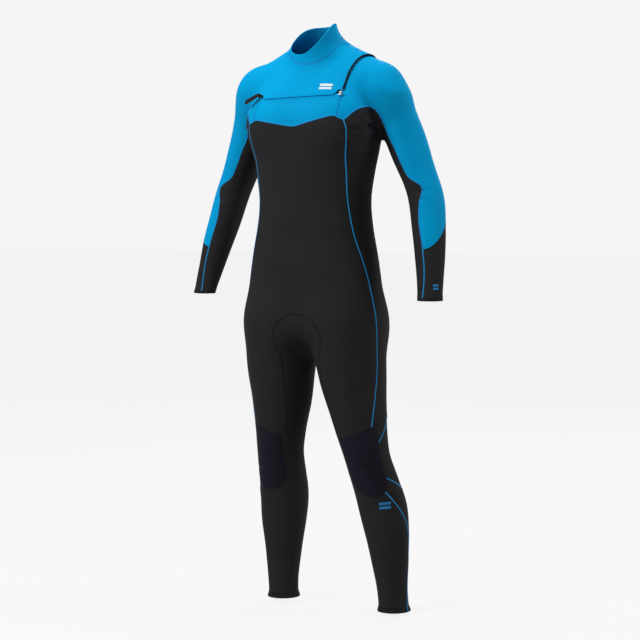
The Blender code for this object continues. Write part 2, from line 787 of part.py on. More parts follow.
def cut_leg(skin, side):
    thigh = side + "_thigh"
    skin.cut(knee_pad(side), side + "_knee_pad", {thigh})
    skin.cut(below(KNEE_Z), side + "_calf_panel", {thigh})
    skin.cut(below(ANKLE_Z[side] + HEM_HEIGHT), side + "_ankle_hem", {side + "_calf_panel"})
    skin.cut(front_of_shin_seam(side), side + "_shin_panel", {side + "_calf_panel"})
    skin.cut(thigh_inside(side), thigh + "_inner", {thigh})
    skin.cut(front_of_side_seam, thigh + "_front", {thigh})


def material(name, colour, roughness, metallic=0.0):
    made = bpy.data.materials.new(name)
    made.use_nodes = True
    shader = made.node_tree.nodes["Principled BSDF"]
    shader.inputs["Base Color"].default_value = (*colour, 1.0)
    shader.inputs["Roughness"].default_value = roughness
    shader.inputs["Metallic"].default_value = metallic
    return made


def add_object(name, points, faces, parent, looks):
    """One object whose points are given in the suit's frame, hung on its body's empty."""
    mesh = bpy.data.meshes.new(name)
    mesh.from_pydata([Vector(p) - parent.location for p in points], [], faces)
    mesh.materials.append(material(name, *looks))
    mesh.update()
    made = bpy.data.objects.new(name, mesh)
    bpy.context.scene.collection.objects.link(made)
    made.parent = parent
    return made


def add_axis(name, place):
    empty = bpy.data.objects.new(name, None)
    empty.location = place
    empty.empty_display_size = 0.05
    bpy.context.scene.collection.objects.link(empty)
    return empty


def zip_frame(place, lift):
    """A spot on the zip's arc, place metres from its middle: X along the zip, -Y out of the chest."""
    turn = Matrix.Rotation(place / ZIP_ARC_RADIUS, 4, "Z")
    out = Matrix.Translation((0, -ZIP_ARC_RADIUS, 0))
    tilt = Matrix.Rotation(math.radians(-ZIP_TILT), 4, "X")
    raised = Matrix.Translation((0, -lift, 0))
    return Matrix.Translation((0, ZIP_ARC_CENTRE_Y, ZIP_Z)) @ turn @ out @ tilt @ raised


def block(size, frame, bevel):
    """Vertices and faces of a box with softened edges, in the given frame."""
    work = bmesh.new()
    bmesh.ops.create_cube(work, size=1.0)
    bmesh.ops.scale(work, vec=size, verts=work.verts)
    bmesh.ops.bevel(work, geom=work.edges[:], offset=bevel, segments=2, affect="EDGES", profile=0.5)
    bmesh.ops.transform(work, matrix=frame, verts=work.verts)
    bmesh.ops.triangulate(work, faces=work.faces[:])
    points = [v.co.copy() for v in work.verts]
    faces = [[v.index for v in f.verts] for f in work.faces]
    work.free()
    return points, faces


def panel_looks(name):
    """Colour, roughness of a panel."""
    if "knee_pad" in name:
        return PLUM, 0.62
    blue = ("front_yoke", "chest_panel", "back_yoke", "collar", "left_shoulder", "right_shoulder",
            "left_upper_arm", "right_upper_arm", "left_forearm", "right_forearm")
    return (BLUE if name in blue else BLACK), 0.55


def body_of(name, axes):
    """The empty that a panel hangs on."""
    if name in ("front_yoke", "collar", "flap_binding", "upper_zip_tape", "upper_zip_coil"):
        return axes["flap"]
    side = name.split("_")[0]
    kinds = (
        ("upper_arm", "shoulder"), ("forearm", "elbow"), ("wrist", "elbow"), ("cuff", "elbow"),
        ("thigh", "hip"), ("knee_pad", "knee"), ("shin", "knee"), ("calf", "knee"), ("ankle", "knee"),
    )
    for word, joint in kinds:
        if word in name:
            return axes[f"{side}_{joint}"]
    return axes["root"]


def limb_axes(side):
    """Where each limb joint turns: on the edge of its cut, on the side that folds."""
    sign = SIDES[side]
    elbow_y = curve_through(ELBOW_Z, ARM, 2) - curve_through(ELBOW_Z, ARM, 4) - 0.002
    hip_y = curve_through(HIP_Z, LEG, 1) - curve_through(HIP_Z, LEG, 3) - 0.004
    knee_y = curve_through(KNEE_Z, LEG, 1) + curve_through(KNEE_Z, LEG, 4) + 0.004
    return {
        side + "_shoulder": (sign * ARMHOLE_X, 0.044, SHOULDER_TOP_Z),
        side + "_elbow": (sign * float(arm_centre(ELBOW_Z, side)), float(elbow_y), ELBOW_Z),
        side + "_hip": (sign * float(leg_centre(HIP_Z, side)), float(hip_y), HIP_Z),
        side + "_knee": (sign * float(leg_centre(KNEE_Z, side)), float(knee_y), KNEE_Z),
    }


def add_panels(skin, axes):
    for name in sorted(set(skin.label)):
        points, faces = sheet_solid(skin, name)
        add_object(name, points, faces, body_of(name, axes), panel_looks(name))


def add_water_barrier(skin, axes):
    """The inner panel behind the zip, which keeps water out."""
    inner = Skin(skin.points.copy(), skin.faces.copy())
    inner.cut(chest_under(BARRIER_TOP_Z, BARRIER_FOOT_Z), "water_barrier", {"torso"})
    points, faces = sheet_solid(inner, "water_barrier", BARRIER_DEPTH, BARRIER_THICKNESS)
    add_object("water_barrier", points, faces, axes["root"], (BLACK, 0.5))


def add_zip_hardware(axes):
    """Slider at the wearer's right end, its pull tab, and the retainer box at the left end."""
    slider_frame = zip_frame(-SLIDER_REST, SLIDER_LIFT) @ Matrix.Translation((0, 0, -SLIDER_DROP))
    slider = block(SLIDER_SIZE, slider_frame, 0.0012)
    add_object("zip_slider", *slider, axes["slider"], (BLACK, 0.35, 0.6))
    lean = Matrix.Rotation(math.radians(TAB_LEAN), 4, "Y")
    beside_pin = Matrix.Translation((-TAB_LENGTH / 2 + TAB_TAIL, 0, 0))
    tab_frame = zip_frame(-SLIDER_REST, TAB_LIFT) @ lean @ beside_pin
    tab = block((TAB_LENGTH, TAB_THICKNESS, TAB_WIDTH), tab_frame, 0.0008)
    add_object("pull_tab", *tab, axes["pull"], (BLACK, 0.6))
    box = block(BOX_SIZE, zip_frame(BOX_PLACE, BOX_LIFT), 0.0008)
    add_object("zip_retainer_box", *box, axes["root"], (STEEL, 0.3, 1.0))


def main():
    for old in list(bpy.data.objects):
        bpy.data.objects.remove(old, do_unlink=True)
    skin = make_skin()
    axes = {"root": add_axis("root_axis", (0, 0, 0)), "flap": add_axis("flap_axis", FLAP_AXIS)}
    axes["slider"] = add_axis("slider_axis", (0, ZIP_ARC_CENTRE_Y, ZIP_Z))
    axes["pull"] = add_axis("pull_axis", zip_frame(-SLIDER_REST, TAB_LIFT).translation)
    for side in SIDES:
        for name, place in limb_axes(side).items():
            axes[name] = add_axis(name + "_axis", place)
    add_water_barrier(skin, axes)
    cut_openings(skin)
    cut_torso(skin)
    for side in SIDES:
        cut_arm(skin, side)
        cut_leg(skin, side)
    skin.merge_scraps()
    add_panels(skin, axes)
    add_zip_hardware(axes)


main()
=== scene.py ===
"""The looks of the full chest-zip wetsuit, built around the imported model.

The suit's outer form is meshed finely, given its folds, and divided along its seams. Each panel becomes a
closed sheet of neoprene with rounded edges. Raised seam tape, stitching, zip, hems and prints lie on it.
+X is the wearer's left, -Y the front, and the origin is where the shoulders carry the suit.
"""

import math

import bmesh
import bpy
import numpy as np
from mathutils import Matrix, Vector


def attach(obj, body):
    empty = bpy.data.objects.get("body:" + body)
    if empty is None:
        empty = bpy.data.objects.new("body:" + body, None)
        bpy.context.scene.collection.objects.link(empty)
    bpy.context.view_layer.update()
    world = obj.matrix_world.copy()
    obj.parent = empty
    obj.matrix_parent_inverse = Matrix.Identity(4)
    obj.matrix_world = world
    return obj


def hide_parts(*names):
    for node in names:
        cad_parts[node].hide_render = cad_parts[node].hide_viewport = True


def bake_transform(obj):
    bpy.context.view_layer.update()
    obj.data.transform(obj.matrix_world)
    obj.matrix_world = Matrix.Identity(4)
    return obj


# Driving dimensions, metres and degrees. Names that end in X, Y or Z are places.
NEOPRENE = 0.003
WRIST_Z = {"left": -0.594, "right": -0.590}
ANKLE_Z = {"left": -1.372, "right": -1.366}
RIDGE_Y = 0.045
GUSSET_ARCH_Z = -0.695
GUSSET_ARCH_HEIGHT = 0.065
GUSSET_HALF_WIDTH = 0.068
GUSSET_BACK_Y = 0.050
ZIP_Z = -0.094
ZIP_HALF_LENGTH = 0.117
ZIP_ARC_RADIUS = 0.426
ZIP_ARC_CENTRE_Y = 0.337
ZIP_TILT = 32.0
SLIDER_LIFT = 0.0072
SLIDER_REST = 0.108
SLIDER_DROP = 0.003
TAB_LIFT = 0.0115
TAB_LENGTH = 0.046
TAB_THICKNESS = 0.0022
TAB_LEAN = -33.0
BOX_PLACE = 0.116
BOX_LIFT = 0.0045
NET_STEP = 0.0125
NET_RANGES = ((-0.412, 0.42), (-0.185, 0.20), (-1.50, 0.26))
# How near a cut lies to a point, as a share of the edge, for the point to move onto it.
SNAP = 0.30
LOCKED_SNAP = 0.05
EDGE_WIDTH = 0.0016
EDGE_SINK = 0.0008
LIP_RISE = 0.0034
LIP_REACH = 0.026
LIP_DROP = 0.008
LIP_CLIMB = 0.0325
LIP_START_X = -0.09
LIP_RIGHT_X = -0.088
LIP_RIGHT_RUN = 0.026
LIP_LEFT_X = 0.099
LIP_LEFT_RUN = 0.008
LIP_END_RISE = 0.012
CHEST_TOP_RISE = 0.005
BINDING_WIDTH = 0.0040
BINDING_RISE = 0.0012
SLIT_END_Z = -0.070
CUFF_HEIGHT = 0.006
HEM_HEIGHT = 0.012
ARMHOLE_X = 0.172
ARMHOLE_LEAN = 0.2
ARMPIT_Z = -0.20
BACK_PANEL_HALF_WIDTH = 0.085
# The legs are apart below this height, and the arms end above it.
LEGS_Z = -0.8
KNEE_BACK_Z = -0.93
KNEE_BACK_FOOT_Z = -1.050
KNEE_BACK_FOOT_DROP = 0.037
KNEE_REGION_Z = -0.90
FLOOR_Z = -1.380
PAPER = 0.913
FLOOR_GLOW = 0.875
WORLD_LIGHT = 0.24
PRINT_RISE = 0.00025
PRINT_SINK = 0.0004
SLIT_RISE = 0.0036
CAMERA_AZIMUTH = 30.0
CAMERA_DISTANCE = 5.0
CAMERA_ASIDE = 0.0125
CAMERA_Z = -0.35
AIM_Z = -0.65
LENS = 112.5
SENSOR = 36.0
LIGHTS_AIM_Z = -0.6
# Studio lights: name, place, size, power.
LIGHTS = (
    ("key", (-1.7, -3.4, 2.4), (1.6, 1.6), 150.0),
    ("side", (3.2, 1.6, 0.6), (1.0, 2.0), 45.0),
    ("back", (-0.6, 3.6, 1.6), (2.4, 2.0), 60.0),
    ("top", (0.0, 0.3, 3.2), (1.5, 1.5), 45.0),
)
SIDES = {"left": 1.0, "right": -1.0}

# Torso sections: height, centre y, half width, depth in front, depth behind, squareness.
TORSO = (
    (0.00, 0.030, 0.080, 0.054, 0.048, 2.4),
    (-0.05, 0.028, 0.130, 0.086, 0.073, 2.7),
    (-0.10, 0.024, 0.155, 0.108, 0.088, 2.9),
    (-0.16, 0.018, 0.167, 0.122, 0.096, 2.8),
    (-0.21, 0.012, 0.166, 0.121, 0.096, 2.5),
    (-0.28, 0.006, 0.156, 0.110, 0.095, 2.3),
    (-0.34, 0.002, 0.147, 0.102, 0.096, 2.3),
    (-0.42, 0.000, 0.152, 0.098, 0.104, 2.3),
    (-0.50, 0.000, 0.169, 0.097, 0.103, 2.3),
    (-0.58, 0.000, 0.179, 0.097, 0.103, 2.3),
    (-0.64, 0.000, 0.178, 0.096, 0.100, 2.3),
    (-0.70, 0.002, 0.175, 0.090, 0.096, 2.3),
    (-0.78, 0.004, 0.165, 0.075, 0.085, 2.3),
)
# Leg sections: height, centre y, half width, depth in front, depth behind.
LEG = (
    (-0.56, 0.002, 0.075, 0.080, 0.080),
    (-0.63, 0.004, 0.088, 0.094, 0.100),
    (-0.70, 0.006, 0.090, 0.096, 0.102),
    (-0.78, 0.008, 0.084, 0.088, 0.094),
    (-0.86, 0.010, 0.073, 0.078, 0.080),
    (-0.93, 0.010, 0.063, 0.067, 0.065),
    (-0.98, 0.014, 0.058, 0.062, 0.060),
    (-1.04, 0.028, 0.060, 0.056, 0.064),
    (-1.10, 0.042, 0.062, 0.054, 0.068),
    (-1.17, 0.047, 0.0575, 0.050, 0.061),
    (-1.24, 0.047, 0.048, 0.043, 0.049),
    (-1.31, 0.045, 0.039, 0.038, 0.042),
    (-1.42, 0.044, 0.0375, 0.040, 0.043),
)
# How far each leg's centre stands out from the middle: height, distance.
LEG_STANCE = {
    "left": (
        (-0.56, 0.088), (-0.78, 0.101), (-0.98, 0.140), (-1.10, 0.165), (-1.24, 0.187), (-1.42, 0.207),
    ),
    "right": (
        (-0.56, 0.088), (-0.78, 0.103), (-0.90, 0.103), (-0.98, 0.108), (-1.10, 0.117), (-1.24, 0.121),
        (-1.42, 0.118),
    ),
}
# Arm sections: height, distance out, centre y, half width, half depth, turn in degrees.
ARM = (
    (-0.07, 0.180, 0.040, 0.052, 0.055, 0.0),
    (-0.12, 0.194, 0.050, 0.052, 0.056, 0.0),
    (-0.175, 0.213, 0.060, 0.052, 0.055, 0.0),
    (-0.25, 0.241, 0.064, 0.049, 0.051, 0.0),
    (-0.3375, 0.277, 0.062, 0.044, 0.047, 0.0),
    (-0.425, 0.296, 0.045, 0.041, 0.044, 0.0),
    (-0.525, 0.312, 0.020, 0.034, 0.032, 15.0),
    (-0.60, 0.322, 0.000, 0.0305, 0.024, 30.0),
    (-0.70, 0.336, -0.026, 0.030, 0.0235, 30.0),
)
# How much further out each arm hangs: height, distance.
ARM_HANG = {
    "left": ((-0.07, 0.0), (-0.70, 0.0)),
    "right": ((-0.07, 0.008), (-0.30, 0.005), (-0.60, 0.011), (-0.70, 0.012)),
}
# Seam lines. Front to back place of the side seam: height, y.
SIDE_SEAM = (
    (-0.15, -0.093), (-0.20, -0.084), (-0.27, -0.068), (-0.34, -0.059), (-0.45, -0.048), (-0.56, -0.031),
    (-0.65, -0.026), (-0.75, -0.011), (-0.845, -0.021), (-0.90, -0.030), (-0.96, -0.036),
)
# Front to back place of the outer shin seam: height, y.
SHIN_SEAM = (
    (-0.98, -0.030), (-1.05, -0.018), (-1.07, -0.003), (-1.095, 0.015), (-1.12, 0.032),
    (-1.15, 0.050), (-1.24, 0.062), (-1.31, 0.058), (-1.375, 0.041),
)
INNER_SHIN_SEAM_Y = 0.045
# Where the sleeve's outer panel starts on the front of the arm: height, distance out.
SLEEVE_SEAM = (
    (-0.12, 0.166), (-0.124, 0.172), (-0.131, 0.180), (-0.15, 0.188), (-0.19, 0.199), (-0.225, 0.218),
    (-0.265, 0.237), (-0.300, 0.262), (-0.312, 0.285), (-0.318, 0.289), (-0.350, 0.286), (-0.390, 0.287),
    (-0.4575, 0.302), (-0.5175, 0.312), (-0.60, 0.3135),
)
# Height of the sleeve seam's upper end, in front and behind.
SLEEVE_SEAM_TOPS = (-0.120, -0.135)
# Plan view of the entry flap's side edge: y, distance out.
FLAP_EDGE = (
    (-0.12, 0.117), (-0.09, 0.117), (-0.06, 0.117), (-0.040, 0.1165), (-0.022, 0.1205),
    (0.0, 0.1270), (0.02, 0.1325), (0.045, 0.139),
)


def curve_through(t, stations, column=1):
    """Smooth reading of one column of a table whose first column is t."""
    table = np.array(sorted(stations), float)
    xs = table[:, 0]
    ys = table[:, column]
    slope = np.gradient(ys, xs)
    t = np.clip(t, xs[0], xs[-1])
    i = np.clip(np.searchsorted(xs, t) - 1, 0, len(xs) - 2)
    span = xs[i + 1] - xs[i]
    s = (t - xs[i]) / span
    start = (2 * s**3 - 3 * s**2 + 1) * ys[i] + (s**3 - 2 * s**2 + s) * span * slope[i]
    end = (3 * s**2 - 2 * s**3) * ys[i + 1] + (s**3 - s**2) * span * slope[i + 1]
    return start + end


def smooth_union(a, b, radius):
    h = np.clip(0.5 + 0.5 * (b - a) / radius, 0, 1)
    return b * (1 - h) + a * h - radius * h * (1 - h)


def smooth_cut(a, b, radius):
    return -smooth_union(-a, -b, radius)


def ring_size(p, cx, cy, width, front, back, power=2.0, turn=0.0):
    """How far points lie outside a tube whose level sections are egg-shaped rings."""
    dx = p[:, 0] - cx
    dy = p[:, 1] - cy
    c = np.cos(turn)
    s = np.sin(turn)
    u = (c * dx + s * dy) / width
    v = c * dy - s * dx
    v = v / np.where(v < 0, front, back)
    rho = (np.abs(u) ** power + np.abs(v) ** power) ** (1 / power)
    return (rho - 1) * np.sqrt(width * (front + back) / 2)


def cone_size(p, start, end, start_radius, end_radius):
    a = np.array(start)
    along = np.array(end) - a
    h = np.clip(((p - a) @ along) / (along @ along), 0, 1)
    radius = start_radius + (end_radius - start_radius) * h
    return np.linalg.norm(p - a - h[:, None] * along, axis=1) - radius


def egg_size(p, centre, radii):
    q = (p - np.array(centre)) / np.array(radii)
    n = np.linalg.norm(q, axis=1)
    g = np.linalg.norm(q / np.array(radii), axis=1)
    return n * (n - 1) / np.maximum(g, 1e-6)


def leg_centre(z, side):
    return curve_through(z, LEG_STANCE[side])


def arm_centre(z, side):
    return curve_through(z, ARM) + curve_through(z, ARM_HANG[side])


def mirrored(p, side):
    """Points as they would lie on the wearer's left."""
    return p * np.array([SIDES[side], 1.0, 1.0])


def torso_form(p):
    z = p[:, 2]
    columns = [curve_through(z, TORSO, k) for k in (1, 2, 3, 4, 5)]
    size = ring_size(p, 0.0, *columns)
    size = smooth_cut(size, -0.695 - z, 0.06)
    size = smooth_cut(size, z, 0.06)
    half = np.column_stack([np.sqrt(p[:, 0] ** 2 + 0.012**2), p[:, 1], z])
    shoulders = cone_size(half, (0.0, 0.032, -0.055), (0.160, 0.042, -0.070), 0.064, 0.052)
    neck_slopes = cone_size(half, (0.0, 0.040, 0.028), (0.13, 0.042, -0.055), 0.043, 0.045)
    size = smooth_union(smooth_union(size, shoulders, 0.05), neck_slopes, 0.05)
    for side in SIDES:
        q = mirrored(p, side)
        size = smooth_union(size, egg_size(q, (0.068, -0.034, -0.160), (0.084, 0.066, 0.070)), 0.05)
        size = smooth_union(size, egg_size(q, (0.076, 0.035, -0.650), (0.072, 0.074, 0.085)), 0.05)
    return size


def arm_form(p, side):
    q = mirrored(p, side)
    z = q[:, 2]
    depth = curve_through(z, ARM, 4)
    size = ring_size(
        q, arm_centre(z, side), curve_through(z, ARM, 2), curve_through(z, ARM, 3), depth, depth,
        turn=np.radians(curve_through(z, ARM, 5)),
    )
    size = smooth_cut(size, z + 0.075, 0.03)
    size = smooth_cut(size, -0.66 - z, 0.01)
    out = float(ARM_HANG[side][0][1])
    size = smooth_union(size, egg_size(q, (0.176 + out, 0.044, -0.092), (0.052, 0.058, 0.070)), 0.03)
    if side == "right":
        size = smooth_union(size, egg_size(q, (0.184, 0.044, -0.070), (0.055, 0.056, 0.052)), 0.02)
    return size


def leg_form(p, side):
    q = mirrored(p, side)
    z = q[:, 2]
    columns = [curve_through(z, LEG, k) for k in (1, 2, 3, 4)]
    size = smooth_cut(ring_size(q, leg_centre(z, side), *columns), z + 0.58, 0.08)
    return smooth_cut(size, -1.43 - z, 0.01)


def suit_form(p):
    """Below zero inside the suit's outer surface, above zero outside it."""
    size = torso_form(p)
    for side in SIDES:
        size = smooth_union(size, arm_form(p, side), 0.020)
    legs = smooth_union(leg_form(p, "left"), leg_form(p, "right"), 0.055)
    size = smooth_union(size, legs, 0.045)
    return smooth_union(size, cone_size(p, (0, 0.040, -0.06), (0, -0.035, 0.16), 0.060, 0.057), 0.035)


def gradient(p):
    step = 2e-4
    return np.column_stack([
        (suit_form(p + shift) - suit_form(p - shift)) / (2 * step) for shift in step * np.eye(3)
    ])


def onto_form(p, rounds):
    for _ in range(rounds):
        g = gradient(p)
        p = p - g * (suit_form(p) / np.maximum((g**2).sum(axis=1), 1e-6))[:, None]
    return p


def normals_at(p):
    g = gradient(p)
    return g / np.linalg.norm(g, axis=1)[:, None]


def surface_net(field, axes):
    """Vertices and quads of field = 0 on a grid: one vertex in each crossed cell."""
    shape = tuple(len(a) for a in axes)
    grid = np.stack(np.meshgrid(*axes, indexing="ij"), axis=-1)
    value = field(grid.reshape(-1, 3)).reshape(shape)
    cells = tuple(n - 1 for n in shape)
    total = np.zeros(cells + (3,))
    count = np.zeros(cells)
    for axis in range(3):
        for i in (0, 1):
            for j in (0, 1):
                low = [0, 0, 0]
                low[(axis + 1) % 3] = i
                low[(axis + 2) % 3] = j
                high = list(low)
                high[axis] = 1
                a = tuple(slice(low[k], low[k] + cells[k]) for k in range(3))
                b = tuple(slice(high[k], high[k] + cells[k]) for k in range(3))
                crossed = (value[a] < 0) != (value[b] < 0)
                t = np.where(crossed, value[a] / np.where(crossed, value[a] - value[b], 1.0), 0.0)
                total += (grid[a] + t[..., None] * (grid[b] - grid[a])) * crossed[..., None]
                count += crossed
    number = np.full(cells, -1)
    number[count > 0] = np.arange((count > 0).sum())
    points = total[count > 0] / count[count > 0][:, None]
    quads = []
    for axis in range(3):
        u = (axis + 1) % 3
        v = (axis + 2) % 3
        low = [slice(1, n - 1) for n in shape]
        low[axis] = slice(0, shape[axis] - 1)
        high = list(low)
        high[axis] = slice(1, shape[axis])
        rising = (value[tuple(low)] < 0) & (value[tuple(high)] >= 0)
        falling = (value[tuple(low)] >= 0) & (value[tuple(high)] < 0)
        for mask, order in ((rising, (0, 1, 2, 3)), (falling, (3, 2, 1, 0))):
            at = np.argwhere(mask)
            at[:, u] += 1
            at[:, v] += 1
            corners = []
            for du, dv in ((0, 0), (-1, 0), (-1, -1), (0, -1)):
                cell = at.copy()
                cell[:, u] += du
                cell[:, v] += dv
                corners.append(number[tuple(cell.T)])
            quads.append(np.column_stack([corners[k] for k in order]))
    return points, np.concatenate(quads)


def triangles_of(points, quads):
    """Each quad split along its shorter diagonal."""
    first = np.linalg.norm(points[quads[:, 0]] - points[quads[:, 2]], axis=1)
    second = np.linalg.norm(points[quads[:, 1]] - points[quads[:, 3]], axis=1)
    turned = np.where((first <= second)[:, None], quads, np.roll(quads, -1, axis=1))
    return np.concatenate([turned[:, [0, 1, 2]], turned[:, [0, 2, 3]]])


def edges_of(faces):
    return np.concatenate([faces[:, [0, 1]], faces[:, [1, 2]], faces[:, [2, 0]]])


def spread(points, ends, free, part, settling):
    """Move the free points part of the way to the middle of their neighbours, twice, along the surface."""
    for _ in range(2):
        total = np.zeros_like(points)
        count = np.zeros(len(points))
        np.add.at(total, ends[:, 0], points[ends[:, 1]])
        np.add.at(count, ends[:, 0], 1)
        move = (total / np.maximum(count, 1)[:, None] - points)[free]
        n = normals_at(points[free])
        move -= n * (move * n).sum(axis=1)[:, None]
        points[free] = onto_form(points[free] + part * move, settling)


def split_triangle(a, b, c, ab, bc, ca):
    """Triangles that replace a, b, c when some of its sides have a new point."""
    known = (ab is not None, bc is not None, ca is not None)
    if known == (True, False, False):
        return [(a, ab, c), (ab, b, c)]
    if known == (True, True, False):
        return [(ab, b, bc), (a, ab, bc), (a, bc, c)]
    if all(known):
        return [(a, ab, ca), (ab, b, bc), (ca, bc, c), (ab, bc, ca)]
    if not any(known):
        return [(a, b, c)]
    return split_triangle(b, c, a, bc, ca, ab)


def halved(points, quads):
    """Each quad divided into four."""
    ends = np.concatenate([quads[:, [k, (k + 1) % 4]] for k in range(4)])
    edges, place = np.unique(np.sort(ends, axis=1), axis=0, return_inverse=True)
    place = place.reshape(4, -1) + len(points)
    centre = np.arange(len(quads)) + len(points) + len(edges)
    points = np.concatenate([points, points[edges].mean(axis=1), points[quads].mean(axis=1)])
    parts = [np.column_stack([quads[:, k], place[k], centre, place[k - 1]]) for k in range(4)]
    return points, np.concatenate(parts)


# Columns of a skin's tags.
PANEL = 0
REGION = 1
SCRAP = 1.2e-4


class Skin:
    """The outer surface as triangles, each tagged with its panel and its bending region."""

    def __init__(self, points, faces):
        self.points = points
        self.faces = faces
        self.tags = np.array([["lower", "torso"]] * len(faces), dtype=object)
        self.locked = np.zeros(len(points), bool)

    def crossings(self, field, mask):
        """The cut edges, how far along them the cut lies, and field at every point in use."""
        used = np.unique(self.faces[mask])
        value = np.zeros(len(self.points))
        value[used] = field(self.points[used])
        value[np.abs(value) < 1e-9] = 0.0
        f = self.faces[mask]
        f = f[np.ptp(np.sign(value[f]), axis=1) == 2]
        edges = np.unique(np.sort(edges_of(f), axis=1), axis=0)
        edges = edges[value[edges[:, 0]] * value[edges[:, 1]] < 0]
        a = self.points[edges[:, 0]]
        b = self.points[edges[:, 1]]
        sign = np.sign(value[edges[:, 0]])
        low = np.zeros(len(edges))
        high = np.ones(len(edges))
        for _ in range(12):
            middle = (low + high) / 2
            same = np.sign(field(a + middle[:, None] * (b - a))) == sign
            low = np.where(same, middle, low)
            high = np.where(same, high, middle)
        return edges, (low + high) / 2, value

    def snap(self, edges, t, value):
        """Move free points that lie close to the cut onto it, and count close fixed ones as on it."""
        place = self.points[edges[:, 0]] * (1 - t[:, None]) + self.points[edges[:, 1]] * t[:, None]
        vertex = np.concatenate([edges[:, 0], edges[:, 1]])
        near = np.concatenate([t, 1 - t])
        place = np.concatenate([place, place])
        order = np.argsort(near, kind="stable")
        order = order[near[order] < np.where(self.locked[vertex[order]], LOCKED_SNAP, SNAP)]
        chosen, first = np.unique(vertex[order], return_index=True)
        place = place[order[first]]
        free = ~self.locked[chosen]
        if free.any():
            self.points[chosen[free]] = onto_form(place[free], 2)
        self.locked[chosen] = True
        value[chosen] = 0.0

    def cut(self, field, name, within, column=PANEL, panels=None):
        """Cut what is tagged as one of within along field = 0, and tag the part below zero with name."""
        mask = np.isin(self.tags[:, column], list(within))
        if panels:
            mask &= np.isin(self.tags[:, PANEL], list(panels))
        if not mask.any():
            return
        edges, t, value = self.crossings(field, mask)
        self.snap(edges, t, value)
        keep = value[edges[:, 0]] * value[edges[:, 1]] < 0
        edges = edges[keep]
        t = t[keep][:, None]
        if len(edges):
            made = onto_form(self.points[edges[:, 0]] * (1 - t) + self.points[edges[:, 1]] * t, 2)
            mask = self.split(edges, mask)
            self.points = np.concatenate([self.points, made])
            self.locked = np.concatenate([self.locked, np.ones(len(made), bool)])
            value = np.concatenate([value, np.zeros(len(made))])
        inside = value[self.faces].sum(axis=1)
        flat = mask & (np.abs(inside) < 1e-12)
        if flat.any():
            inside[flat] = field(self.points[self.faces[flat]].mean(axis=1))
        self.tags[mask & (inside < 0), column] = name

    def split(self, edges, mask):
        """Divide every triangle that holds a cut edge, and return the mask for the new triangles."""
        count = len(self.points)
        keys = edges[:, 0] * count + edges[:, 1]
        order = np.argsort(keys)
        found = []
        for i, j in ((0, 1), (1, 2), (2, 0)):
            ends = np.sort(self.faces[:, [i, j]], axis=1)
            key = ends[:, 0] * count + ends[:, 1]
            at = np.minimum(np.searchsorted(keys, key, sorter=order), len(keys) - 1)
            found.append(np.where(keys[order[at]] == key, order[at] + count, -1))
        found = np.column_stack(found)
        touched = (found >= 0).any(axis=1)
        faces = []
        source = []
        for index, corners, sides in zip(
            np.flatnonzero(touched), self.faces[touched].tolist(), found[touched].tolist()
        ):
            pieces = split_triangle(*corners, *[k if k >= 0 else None for k in sides])
            faces += pieces
            source += [index] * len(pieces)
        self.faces = np.concatenate([self.faces[~touched], np.array(faces)])
        self.tags = np.concatenate([self.tags[~touched], self.tags[source]])
        return np.concatenate([mask[~touched], mask[source]])

    def finish_surface(self):
        """Even out the points between the seams, fold the surface, and keep its shown points and normals."""
        ends = edges_of(self.faces)
        spread(self.points, np.concatenate([ends, ends[:, ::-1]]), ~self.locked, 0.6, 1)
        n = normals_at(self.points)
        self.shown = self.points + n * relief(self.points, n)[:, None]
        self.normals = vertex_normals(self.shown, self.faces)

    def drop(self, name):
        keep = self.tags[:, PANEL] != name
        self.faces = self.faces[keep]
        self.tags = self.tags[keep]

    def sides_of_edges(self):
        """Each inner edge with the two triangles beside it."""
        ends = np.sort(edges_of(self.faces), axis=1)
        owner = np.tile(np.arange(len(self.faces)), 3)
        order = np.lexsort((ends[:, 1], ends[:, 0]))
        ends = ends[order]
        owner = owner[order]
        twin = np.flatnonzero((ends[1:] == ends[:-1]).all(axis=1))
        return ends[twin], owner[twin], owner[twin + 1]

    def merge_scraps(self):
        """Fragments of a panel smaller than SCRAP join the panel that they touch most."""
        area = 0.5 * np.linalg.norm(face_crosses(self.points, self.faces), axis=1)
        _, first, second = self.sides_of_edges()
        panel = self.tags[:, PANEL]
        same = panel[first] == panel[second]
        root = np.arange(len(self.faces))
        while True:
            low = np.minimum(root[first[same]], root[second[same]])
            before = root.copy()
            np.minimum.at(root, first[same], low)
            np.minimum.at(root, second[same], low)
            root = root[root]
            if (root == before).all():
                break
        total = np.bincount(root, weights=area, minlength=len(root))
        small = total[root] < SCRAP
        for group in np.unique(root[small]):
            members = root == group
            beside = [panel[b] for a, b in zip(first[~same], second[~same]) if members[a]]
            beside += [panel[a] for a, b in zip(first[~same], second[~same]) if members[b]]
            if beside:
                self.tags[members, PANEL] = max(sorted(set(beside)), key=beside.count)


def face_crosses(points, faces):
    """Each triangle's normal, twice as long as the triangle's area."""
    corners = points[faces]
    return np.cross(corners[:, 1] - corners[:, 0], corners[:, 2] - corners[:, 0])


def vertex_normals(points, faces):
    face = face_crosses(points, faces)
    total = np.zeros_like(points)
    for k in range(3):
        np.add.at(total, faces[:, k], face)
    length = np.linalg.norm(total, axis=1)
    return total / np.maximum(length, 1e-12)[:, None]


